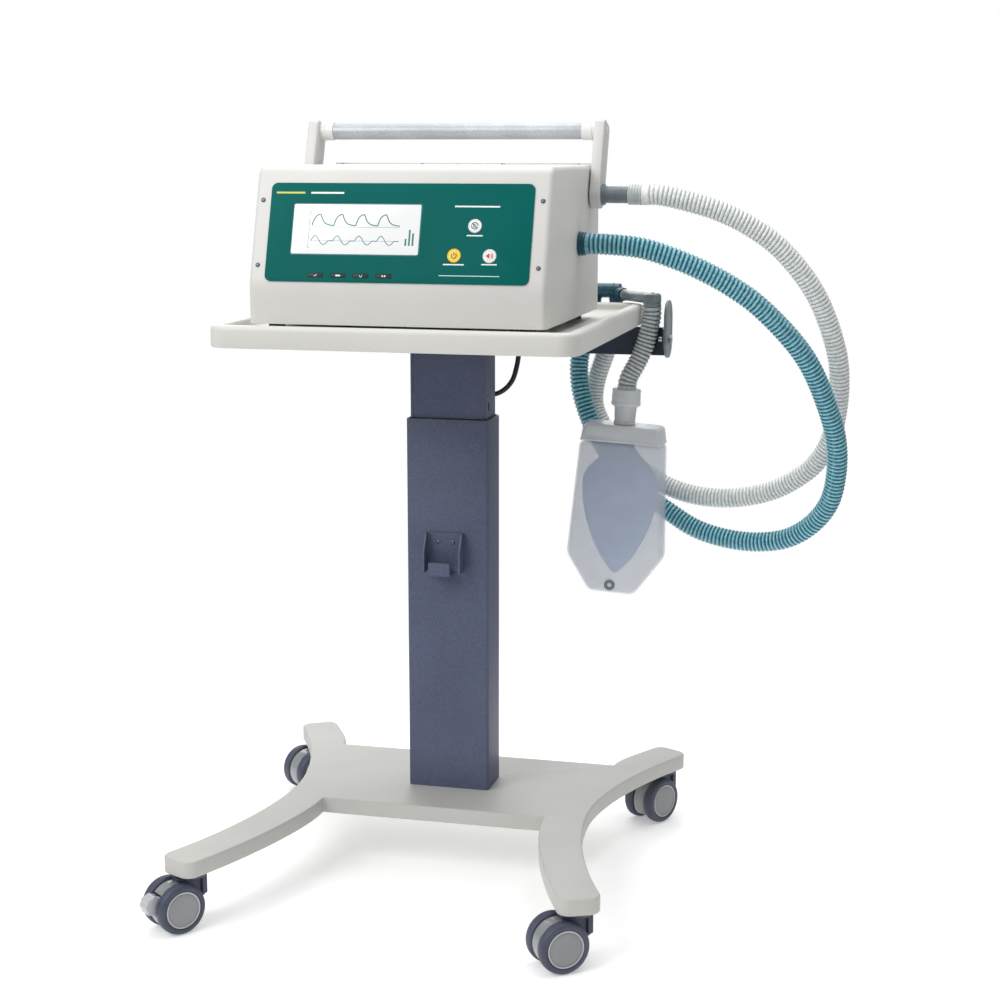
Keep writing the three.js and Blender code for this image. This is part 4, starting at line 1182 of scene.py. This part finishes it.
stripMesh = prism(roundedRing(206, 2.2, 1.2, 4, 0, 152.6), at, 1096.0, 1098.2, 0.5, 2)
newPiece("hood_rear_strip", stripMesh, caseCoat, "lift", (), 40)
for i, (x, y) in enumerate(((-190, 138), (-60, 138), (70, 138), (190, 138))):
    addScrew("hood_top_screw_" + str(i + 1), at(x, y, 1096), (0, 0, 1), 3.4, 1.5, "lift")
for i, (u, v) in enumerate(((-205, 121), (-205, 26), (205, 122), (205, 27))):
    addScrew("hood_front_screw_" + str(i + 1), onPanel(u, v, 0), panelOut, 3.4, 1.5, "lift")

# Teal overlay, screen and what is printed on them
# Low and high side of each printed layer, in mm from the panel
ink = {"screen": (1.4, 1.52), "panel": (1.7, 1.8), "tab": (1.6, 1.7), "key": (3.05, 3.34)}
overlayPiece = newPiece(
    "panel_overlay", prism(roundedRing(193, 71.75, 9, 10, 0, 74.25), onPanel, 0.3, 1.7, 0.35, 2),
    overlayFinish, "lift", ("front_overlay",), 40,
)
overlayCuts = [panelCutter(discLine(u, v, 10.4), -2, 6) for u, v in keys.values()]
overlayCuts.append(
    panelCutter(roundedRing(screenHalf[0] + 0.4, screenHalf[1] + 0.4, 3, 6, *screenMiddle), -2, 6)
)
overlayCuts += [panelCutter(roundedRing(11.4, 3.2, 1.0, 4, x, 12), -2, 6) for x in tabs]
carve(overlayPiece, overlayCuts)
dress(overlayPiece, overlayFinish, 40)

newPiece(
    "screen_glass", prism(roundedRing(*screenHalf, 2.7, 6, *screenMiddle), onPanel, 0.3, 1.4, 0.3, 2),
    screenFinish, "lift", ("display",), 40,
)


def screenOutline(grow):
    return roundedRing(screenHalf[0] + grow, screenHalf[1] + grow, 2.4, 6, *screenMiddle)


rimRings = stack(((-1.6, 1.4), (-1.6, 1.62), (-0.3, 1.62), (-0.1, 1.4)), screenOutline, onPanel)
newPiece("screen_dark_rim", lofted(rimRings, True), tealInk, "lift", (), 40)


def stroke(bm, points, width, low, high):
    # A flat printed line of even width along points, as a thin closed strip
    left, right = [], []
    for i, point in enumerate(points):
        before = Vector(points[max(i - 1, 0)])
        after = Vector(points[min(i + 1, len(points) - 1)])
        way = (after - before).normalized()
        side = Vector((-way.y, way.x)) * width / 2
        left.append(Vector(point) + side)
        right.append(Vector(point) - side)
    outline = left + right[::-1]
    bottom = [bm.verts.new(onPanel(p.x, p.y, low)) for p in outline]
    top = [bm.verts.new(onPanel(p.x, p.y, high)) for p in outline]
    count = len(points)
    total = len(outline)
    for i in range(count - 1):
        a, b, c, d = i, i + 1, total - 2 - i, total - 1 - i
        bm.faces.new((top[a], top[d], top[c], top[b]))
        bm.faces.new((bottom[a], bottom[b], bottom[c], bottom[d]))
    for i in range(total):
        j = (i + 1) % total
        bm.faces.new((bottom[i], top[i], top[j], bottom[j]))


def arc(u, v, radius, start, end, steps=20):
    angles = [math.radians(start + (end - start) * i / steps) for i in range(steps + 1)]
    return [(u + radius * math.cos(angle), v + radius * math.sin(angle)) for angle in angles]


def inked(name, finish, body, strokes, low, high):
    bm = bmesh.new()
    for points, width in strokes:
        stroke(bm, points, width, low, high)
    outward(bm)
    return newPiece(name, bm, finish, body, (), 40)


breathIn = 0.38  # the share of each breath that flows in


def breathLine(u0, u1, v, height, beats):
    points = []
    for i in range(121):
        t = i / 120 * beats
        part = t % 1
        if part < breathIn:
            level = 1 - math.exp(-part * 9)
        else:
            level = math.exp(-(part - breathIn) * 7) * 0.97
        points.append((u0 + (u1 - u0) * i / 120, v + height * level))
    return points


def flowLine(u0, u1, v, height, beats):
    points = []
    for i in range(121):
        part = (i / 120 * beats) % 1
        if part < breathIn:
            level = math.sin(part / breathIn * math.pi) * 0.9
        else:
            level = -math.sin(min(1, (part - breathIn) / 0.4) * math.pi) * 0.7
        points.append((u0 + (u1 - u0) * i / 120, v + height * level))
    return points


screenLines = [(breathLine(-128, 2, 84, 17, 4), 1.5), (flowLine(-128, 2, 62, 8, 4), 1.1)]
screenLines += [([(-128, 82), (2, 82)], 0.35), ([(-128, 62), (2, 62)], 0.3), ([(-132, 52), (-132, 104)], 0.5)]
screenLines += [([(-132, 52 + i * 13), (-129.5, 52 + i * 13)], 0.5) for i in range(5)]
inked("screen_traces", tealInk, "lift", screenLines, *ink["screen"])
barLines = [([(12 + i * 5.2, 56), (12 + i * 5.2, 66 + 9 * (i % 2) + 4 * i)], 2.6) for i in range(3)]
inked("screen_level_bars", tealInk, "lift", barLines, *ink["screen"])

inked("accent_stripe_yellow", yellowInk, "lift", [([(-185, 131.4), (-142, 131.4)], 2.6)], *ink["panel"])
inked("accent_stripe_white", whiteInk, "lift", [([(-133, 131.4), (-84, 131.4)], 2.6)], *ink["panel"])
inked("panel_labels", whiteInk, "lift", [
    ([(80, 113), (145, 113)], 2.2),
    ([(100, 71.6), (123, 71.6)], 1.8),
    ([(69, 30.1), (99, 30.1)], 1.8),
    ([(124, 30.8), (146, 30.8)], 1.8),
    ([(64, 14.2), (151, 14.2)], 0.9),
], *ink["panel"])


# Keys: domed caps with a symbol on each
def keyCap(name, place, finish):
    profile = [
        (0, 9.4), (0, 9.9), (5.5, 9.9), (6.1, 9.6), (6.5, 9.0), (6.55, 8.4), (6.35, 8.0), (6.4, 7.0),
        (6.55, 5), (6.62, 3), (6.64, 1),
    ]
    turnedPiece(name + "_cap", onPanel(*place, -3.4), panelOut, profile, finish, name, (name,))


keyCap("key_mode", keys["mode"], whiteKey)
keyCap("key_standby", keys["standby"], yellowKey)
keyCap("key_mute", keys["mute"], whiteKey)
u, v = keys["mode"]
inked(
    "key_mode_symbol", tealInk, "key_mode",
    [
        (arc(u, v, 4.6, 0, 340), 1.3), ([(u - 3.2, v + 3.2), (u + 3.2, v - 3.2)], 1.3),
        (arc(u, v, 2.0, 20, 340), 0.9),
    ],
    *ink["key"],
)
u, v = keys["standby"]
inked(
    "key_standby_symbol", darkInk, "key_standby",
    [(arc(u, v - 0.4, 3.6, 125, 415), 1.1), ([(u, v), (u, v + 4.6)], 1.1)], *ink["key"],
)
u, v = keys["mute"]
inked(
    "key_mute_symbol", redInk, "key_mute",
    [
        ([(u - 4.6, v), (u - 2.2, v)], 3.0), ([(u - 2.4, v), (u + 0.2, v)], 6.2),
        (arc(u + 0.4, v, 2.6, -50, 50), 0.9), (arc(u + 0.4, v, 4.4, -50, 50), 0.9),
    ],
    *ink["key"],
)

tabMesh = prism(roundedRing(61.5, 2.0, 0.6, 3, -66.5, 12), onPanel, -3.6, -0.6)
for x in tabs:
    join(tabMesh, prism(roundedRing(11, 2.8, 0.9, 5, x, 12), onPanel, -3.6, 1.6, 0.4, 2))
newPiece("indicator_windows", tabMesh, darkFinish, "lift", ("indicator_bar",), 40)
inked("indicator_symbols", whiteInk, "lift", [
    ([(tabs[0] - 2.2, 12), (tabs[0] - 0.6, 10.6), (tabs[0] + 2.4, 13.6)], 0.8),
    ([(tabs[1] - 3.4, 12), (tabs[1] + 3.0, 12)], 2.2), ([(tabs[1] + 3.0, 12), (tabs[1] + 3.9, 12)], 1.0),
    (arc(tabs[2], 12.2, 1.7, 150, 390), 0.7),
    ([(tabs[2] - 1.6, 11.2), (tabs[2], 9.9), (tabs[2] + 1.6, 11.2)], 0.7),
    ([(tabs[3] - 2.6, 12), (tabs[3] - 0.6, 12)], 2.4), ([(tabs[3] + 0.8, 12), (tabs[3] + 2.8, 12)], 2.4),
], *ink["tab"])
print("case and panel ready")

# Carrying handle
handle = {
    "half": 21, "length": 106, "lean": 0.336, "inner": 219.6, "outer": 236, "pivotY": ports["upper"][0],
    "pivotZ": ports["upper"][1], "grip": 12.5, "gripHalf": 198, "topCorner": 9,
}


def onArm(side):
    c, s = math.cos(handle["lean"]), math.sin(handle["lean"])

    def place(y, z, x):
        return at(side * x, handle["pivotY"] + (y * c + z * s), handle["pivotZ"] + (-y * s + z * c))
    return place


armLine = []
for i in range(25):
    angle = math.pi + math.pi * i / 24
    armLine.append((handle["half"] * math.cos(angle), handle["half"] * math.sin(angle)))
corner = handle["topCorner"]
for cornerX, start in ((handle["half"] - corner, 0), (-handle["half"] + corner, 90)):
    for i in range(9):
        angle = math.radians(start + 90 * i / 8)
        armLine.append((cornerX + corner * math.cos(angle), handle["length"] - 1 + corner * math.sin(angle)))
gripReach = handle["length"] - 6
gripY = handle["pivotY"] + math.sin(handle["lean"]) * gripReach
gripZ = handle["pivotZ"] + math.cos(handle["lean"]) * gripReach
collarProfile = [
    (0, 9), (0, 13.0), (0.5, 13.6), (13, 13.6), (13.6, 14.4), (16.2, 14.4), (16.8, 13.6), (21.2, 13.4),
]
plugProfile = [(-0.6, 6.2), (0.5, 6.2), (0.9, 5.6), (0.9, 2)]
for side, name in ((-1, "left"), (1, "right")):
    armMesh = prism(armLine, onArm(side), handle["inner"], handle["outer"], 2.6, 4)
    outward(armMesh)
    arm = newPiece(
        "handle_arm_" + name + "_moulding", armMesh, armFinish, "handle", ("handle_arm_" + name,), 35,
    )
    pivotPlace = at(side * 205, handle["pivotY"], handle["pivotZ"])
    carve(arm, [rodCutter(pivotPlace, (side, 0, 0), 45, 13.1 if side > 0 else 6.3)])
    dress(arm, armFinish, 35)
    collarPlace = at(side * (handle["gripHalf"] + 0.3), gripY, gripZ)
    turnedPiece("handle_collar_" + name, collarPlace, (side, 0, 0), collarProfile, collarFinish, "handle")
    plugPlace = at(side * handle["outer"], gripY, gripZ)
    turnedPiece(
        "handle_arm_plug_" + name, plugPlace, (side, 0, 0), plugProfile, collarFinish, "handle", sides=32,
    )

gripRings = []
gripCount = 264
for i in range(gripCount + 1):
    x = -handle["gripHalf"] + 2 * handle["gripHalf"] * i / gripCount
    ring = []
    for k in range(60):
        angle = 2 * math.pi * k / 60
        rough = 0.12 * (((i + k) % 2) * 2 - 1) if 2 < i < gripCount - 2 else -0.1
        radius = handle["grip"] - 0.15 + rough
        ring.append(at(x, gripY + radius * math.cos(angle), gripZ + radius * math.sin(angle)))
    gripRings.append(ring)
gripFinish = powderCoat(
    "gripFinish", "#a6aaaf", "#bfc3c7", worn="#d0d3d6", rough=0.42, cloud=12.0, fleck=420.0,
    fleckAmount=0.5, bump=0.0002, metal=0.35,
)
newPiece("handle_grip_sleeve", lofted(gripRings), gripFinish, "handle", ("handle_grip",), 80)
finishNode("handle_pivot_bolt", zincSteel, 0.5)

# Gas ports
portProfile = [
    (0, 9), (0, 12.5), (42.3, 12.5), (42.3, 15.4), (42.9, 16), (45.6, 16), (46.6, 15.2), (47, 12.9),
    (50, 12.8), (50.4, 12.3), (52, 12.3), (52.4, 12.8), (72, 12.8), (72.6, 12.3), (74, 12.3),
    (74.6, 12.8), (81.4, 12.8), (82, 12), (82, 11), (97, 11), (98, 10.4), (98, 8.8), (0.5, 8.8),
]
turnedPiece(
    "upper_gas_port", at(194, *ports["upper"]), (1, 0, 0), portProfile, portFinish, "lift",
    ("port_upper",), caps=(False, False),
)
finishNode("port_lower", portFinish)
finishNode("mains_inlet", darkFinish, 0.5)
finishNode("power_rocker", darkFinish, 0.5)
finishNode("oxygen_inlet", zincSteel, 0.3)
finishNode("back_panel", caseCoat, 0.3)
finishNode("chassis_plate", zincSheet)
finishNode("blower", blackPaint, 1.5, 3)
finishNode("battery_pack", wrapFinish, 3.0, 3)
finishNode("control_board", boardFinish)
for corner in corners:
    finishNode("foot_" + corner, rubberFinish, 1.0)

# Back of the case: contact pins, screws and the guard behind the fan slots; then the parts on the board
pinMesh = bmesh.new()
for x, z in ((136, 912), (145, 918.5), (154, 912)):
    join(pinMesh, prism(roundedRing(1.0, 2.6, 0.8, 3, x, z), upright, 142, 152.5, 0.3, 2))
outward(pinMesh)
newPiece("inlet_pins", pinMesh, zincSteel, "lift", (), 40)
backScrews = [
    (-200, 890), (200, 890), (-200, 1080), (200, 1080), (0, 1080), (0, 890), (117.2, 915), (172.8, 915),
]
for i, (x, z) in enumerate(backScrews):
    y = 153 if i < 6 else 156
    addScrew("back_screw_" + str(i + 1), at(x, y, z), (0, 1, 0), 3.0 if i < 6 else 1.9, 1.4, "lift")
fanGuardMesh = bmesh.new()
for i in range(17):
    x = -148 + i * 5.3
    join(fanGuardMesh, prism(roundedRing(0.5, 31, 0.4, 2, x, 1000), upright, 148.2, 149.2))
outward(fanGuardMesh)
newPiece("fan_guard_bars", fanGuardMesh, darkFinish, "lift", (), 40)
boardFace = 98.0
boardMesh = bmesh.new()
boardParts = [
    (-120, 940, 22, 16, 8), (-60, 960, 14, 14, 3), (0, 930, 26, 8, 12), (60, 965, 12, 12, 3),
    (110, 930, 18, 22, 14), (-10, 985, 20, 6, 5),
]
for x, z, halfX, halfZ, proud in boardParts:
    outline = roundedRing(halfX, halfZ, 1.5, 3, x, z)
    join(boardMesh, prism(outline, upright, boardFace, boardFace + proud, 0.6, 2))
outward(boardMesh)
newPiece("board_parts", boardMesh, darkFinish, "lift", (), 40)
print("handle, ports and back ready")

# Casters: hooded twin wheels; the front left one has a brake knob
wheel = {"radius": 37.5, "hood": 34.5, "hoodHalf": 11.2, "trail": 28}
brake = {"reach": 36, "z": 46, "radius": 14.4, "lobe": 0.7, "half": 10.4, "pin": (58, 47.5)}
tyreProfile = [
    (12.4, 18), (12.4, 34.2), (13.2, 35.8), (15.0, 36.9), (18.0, 37.4), (21.5, 37.5), (24.5, 37.3),
    (27.0, 36.5), (28.8, 35.0), (29.8, 33.0), (30.0, 31.0), (29.6, 29.3), (28.6, 28.2), (28.2, 27.0),
    (24, 26.4), (24, 18),
]
hubProfile = [
    (20, 27.0), (28.3, 27.0), (28.9, 26.5), (29.1, 25.6), (28.9, 24.8), (28.5, 24.3), (28.5, 23.6),
    (28.9, 22.8), (29.2, 20), (29.3, 12), (29.35, 5), (29.35, 1),
]
stemProfile = [
    (0, 20), (0.6, 23.4), (1.4, 24), (5.4, 24), (6.4, 23), (6.6, 14), (7.0, 14), (7.2, 6.1), (24, 6.1),
]
rimProfile = [(28.2, 25.2), (29.6, 25.3), (30.0, 25.8), (30.0, 26.6), (29.6, 27.1), (28.2, 27.2)]
for name in corners:
    swivel = Vector(joints["caster_" + name + "_swivel"]["pos_m"])
    axle = Vector(joints["caster_" + name + "_roll"]["axis"]).normalized()
    hubPlace = Vector(joints["caster_" + name + "_roll"]["pos_m"])
    ahead = Vector((axle.y, -axle.x, 0))
    origin = Vector((swivel.x, swivel.y, 0))

    def onCaster(x, z, y):
        return origin + (ahead * x + axle * y + Vector((0, 0, z))) / 1000

    tyres = bmesh.new()
    hubs = bmesh.new()
    for side in (-1, 1):
        rows = turn(tyres, hubPlace, axle * side, tyreProfile, 72, (False, False))
        closeLoop(tyres, rows)
        turn(hubs, hubPlace, axle * side, hubProfile, 72)
        turn(hubs, hubPlace, axle * side, [(12.4, 17.6), (23, 17.6)], 40)
    turn(hubs, hubPlace - axle * 0.012, axle, [(-1, 4), (25, 4)], 24)
    outward(tyres)
    outward(hubs)
    newPiece(
        "caster_" + name + "_tyres", tyres, tyreFinish, "wheels_" + name, ("caster_" + name + "_wheels",),
        40,
    )
    newPiece("caster_" + name + "_hubs", hubs, hubFinish, "wheels_" + name, (), 32)

    rims = bmesh.new()
    for side in (-1, 1):
        rows = turn(rims, hubPlace, axle * side, rimProfile, 72, (False, False))
        closeLoop(rims, rows)
    outward(rims)
    newPiece("caster_" + name + "_hub_rims", rims, knobFinish, "wheels_" + name, (), 40)

    hoodLine = []
    start, end = -43, 223
    for i in range(41):
        angle = math.radians(start + (end - start) * i / 40)
        z = max(13, wheel["radius"] + wheel["hood"] * math.sin(angle))
        hoodLine.append((wheel["trail"] + wheel["hood"] * math.cos(angle), z))
    fork = prism(hoodLine, onCaster, -wheel["hoodHalf"], wheel["hoodHalf"], 2.4, 4, 70)
    outward(fork)
    forkPiece = newPiece(
        "caster_" + name + "_hood", fork, hoodFinish, "caster_" + name, ("caster_" + name + "_fork",), 40,
    )
    cuts = [rodCutter(hubPlace - axle * 0.02, axle, 40, 4.4, 24)]
    if name == "fl":
        knobRoom = onCaster(wheel["trail"] + brake["reach"] + 0.5, brake["z"] + 0.5, -20)
        cuts.append(rodCutter(knobRoom, axle, 40, 17.6, 44))
    carve(forkPiece, cuts)
    dress(forkPiece, hoodFinish, 40)
    neck = prism([(-20, 46), (-9, 40), (20, 60), (27, 79), (-20, 79)], onCaster, -10.8, 10.8, 1.5, 3, 40)
    join(neck, prism([(-20.5, 48), (-11.5, 48), (-11.5, 78), (-20.5, 78)], onCaster, -15, 15, 2.0, 3, 40))
    turn(neck, onCaster(0, 75.6, 0), (0, 0, 1), stemProfile, 48)
    outward(neck)
    newPiece("caster_" + name + "_bracket", neck, tyreFinish, "caster_" + name, (), 40)
    if name == "fl":
        tongue = prism([(40, 42.6), (60, 42.6), (60, 52.4), (40, 52.4)], onCaster, -3.1, 3.1, 0.8, 2, 40)
        pinProfile = [(0, 2.0), (0.5, 2.5), (18.3, 2.5), (18.8, 2.0)]
        turn(tongue, onCaster(*brake["pin"], -9.4), axle, pinProfile, 20)
        outward(tongue)
        newPiece("brake_tongue", tongue, zincSteel, "caster_fl", (), 40)
        lobes = []
        for i in range(72):
            angle = 2 * math.pi * i / 72
            radius = brake["radius"] + brake["lobe"] * math.cos(8 * angle)
            x = wheel["trail"] + brake["reach"] + radius * math.cos(angle)
            lobes.append((x, brake["z"] + radius * math.sin(angle)))
        knobMesh = prism(lobes, onCaster, -brake["half"], brake["half"], 2.2, 4, 60)
        knob = newPiece("brake_knob", knobMesh, knobFinish, "brake_fl", ("caster_fl_brake",), 40)
        slotLine = [(28, 29.5), (62.6, 29.5), (62.6, 65.5), (28, 65.5)]
        pinHole = rodCutter(onCaster(*brake["pin"], -14), axle, 28, 2.8, 24)
        carve(knob, [prism(slotLine, onCaster, -3.7, 3.7), pinHole])
        dress(knob, knobFinish, 40)
print("casters ready")

# Test lung: a frosted shell with a folded bag inside
lung = {"top": (252, 232, 741), "tilt": 0.055, "half": 30, "edge": 8, "wall": 2.4}
lungTurn = Matrix.Rotation(lung["tilt"], 4, "Y")


def onLung(x, z, y=0.0):
    point = lungTurn @ Vector((x, y, z))
    return at(lung["top"][0] + point.x, lung["top"][1] + point.y, lung["top"][2] + point.z)


def roundedLine(turns, radius, steps=5):
    # Straight sides with each corner turned on a small radius
    line = []
    count = len(turns)
    for i, corner in enumerate(turns):
        corner = Vector(corner)
        before = (Vector(turns[i - 1]) - corner).normalized()
        after = (Vector(turns[(i + 1) % count]) - corner).normalized()
        reach = radius * 0.9
        start, end = corner + before * reach, corner + after * reach
        for k in range(steps + 1):
            t = k / steps
            line.append(start * (1 - t) ** 2 + corner * 2 * t * (1 - t) + end * t * t)
    return line


def inward(line, inset):
    moved = []
    count = len(line)
    for i, point in enumerate(line):
        way = (line[(i + 1) % count] - line[i - 1]).normalized()
        moved.append(point + Vector((-way.y, way.x)) * inset)
    return moved


def pillow(line, half, edge, steps, inset=0.0):
    angles = [math.pi / 2 * i / steps for i in range(steps + 1)]
    front = [(-half + edge * (1 - math.cos(angle)), edge * (1 - math.sin(angle))) for angle in angles]
    back = [(-y, grow) for y, grow in reversed(front)]
    return [[onLung(p.x, p.y, y) for p in inward(line, grow + inset)] for y, grow in front + back]


shellCorners = [(67, -85.3), (-67, -85.3), (-77.4, -273), (-37, -332), (37, -332), (77.4, -273)]
shellLine = roundedLine(shellCorners, 11, 7)
area = sum(a.x * b.y - b.x * a.y for a, b in zip(shellLine, shellLine[1:] + shellLine[:1]))
if area < 0:
    shellLine = shellLine[::-1]
shellMesh = lofted(pillow(shellLine, lung["half"], lung["edge"], 7))
innerMesh = lofted(pillow(shellLine, lung["half"] - lung["wall"], lung["edge"] - 2, 6, lung["wall"]))
bmesh.ops.reverse_faces(innerMesh, faces=innerMesh.faces[:])
join(shellMesh, innerMesh)
newPiece("lung_frosted_shell", shellMesh, shellFrost, "lift", ("lung_shell",), 50)

cap = {"low": -85, "skirt": 66.8, "deep": 30}
capProfile = [
    (0, 0.2, 7), (0.3, 0, 7), (2.6, 0, 7), (3.0, 0.9, 7), (12, 2.0, 7.5), (20.5, 3.4, 8), (23.4, 4.2, 8),
    (25.2, 5.4, 8.4), (26.5, 7.2, 9), (27.2, 9.4, 9.6), (27.4, 12, 10),
]
capRings = []
for rise, inset, corner in capProfile:
    outline = roundedRing(cap["skirt"] - inset, cap["deep"] - inset * 0.55, corner, 6)
    capRings.append([onLung(x, cap["low"] + rise, y) for x, y in outline])
newPiece("lung_cap_moulding", lofted(capRings), capFrost, "lift", ("lung_cap",), 50)

down = onLung(0, -1) - onLung(0, 0)
neckProfile = [
    (0, 15.7), (0, 20.6), (0.8, 22.4), (2.4, 23), (5, 23), (5.6, 22.4), (8.4, 22.4), (9, 23), (21, 23),
    (21.6, 23.6), (25, 23.6), (26.4, 22.8), (27.4, 20.4), (29, 18.4), (31, 17.8), (45, 17), (52, 16.6),
    (53, 17.4), (56.6, 17.4), (57, 16.8), (57, 8), (2, 8),
]
turnedPiece(
    "lung_neck_moulding", onLung(0, 0), down, neckProfile, capFrost, "lift", ("lung_neck",), 40,
    caps=(False, False),
)

bag = {"top": -88, "low": -304, "steps": 54, "around": 44, "thick": 21}
bagRings = []
for i in range(bag["steps"] + 1):
    t = i / bag["steps"]
    z = bag["top"] + (bag["low"] - bag["top"]) * t
    if t < 0.3:
        k = t / 0.3
        width = 17 + 46 * (k * k * (3 - 2 * k)) ** 0.8
    elif t < 0.36:
        width = 63
    else:
        k = (t - 0.36) / 0.64
        width = 63 * max(0.0, 1 - k ** 1.9) ** 0.72 * (1 - 0.12 * k)
    width = max(width, 2.0)
    deep = bag["thick"] * min(1, width / 48) * (1 - 0.10 * math.exp(-((t - 0.33) / 0.02) ** 2))
    ring = []
    for k in range(bag["around"]):
        angle = 2 * math.pi * k / bag["around"]
        c, s = math.cos(angle), math.sin(angle)
        x = width * math.copysign(abs(c) ** 0.9, c)
        y = deep * math.copysign(abs(s) ** 1.25, s)
        y += 0.5 * math.sin(x * 0.21 + t * 9) * abs(s)
        ring.append(onLung(x, z, y))
    bagRings.append(ring)
bagPiece = newPiece("lung_inner_bag", lofted(bagRings), bagFinish, "lift", ("lung_bag",), 70)
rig.padded(bagPiece, fill=0.5)

drainPlace = onLung(-2, -318, -29.8)
out = onLung(0, 0, -1) - onLung(0, 0, 0)
drainProfile = [(0.5, 4.2), (0.5, 8.6), (1.6, 9), (2.6, 8.7), (3.2, 7.6), (3.1, 6.2), (2.3, 5.6), (2.3, 4.2)]
turnedPiece(
    "lung_drain_collar", drainPlace, out, drainProfile, portFinish, "lift", ("lung_drain_ring",), 40,
    caps=(False, False),
)
drainPlugProfile = [(0.2, 4.0), (1.2, 4.0), (1.8, 3.6), (2.0, 2.4), (2.0, 0.6)]
turnedPiece("lung_drain_plug", drainPlace, out, drainPlugProfile, capFrost, "lift", (), 40, 32)
print("test lung ready")

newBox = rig.bounds()
json.dump({"cad": [list(map(float, c)) for c in cadBox], "visual": [list(map(float, c)) for c in newBox]}, open("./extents.json", "w"))
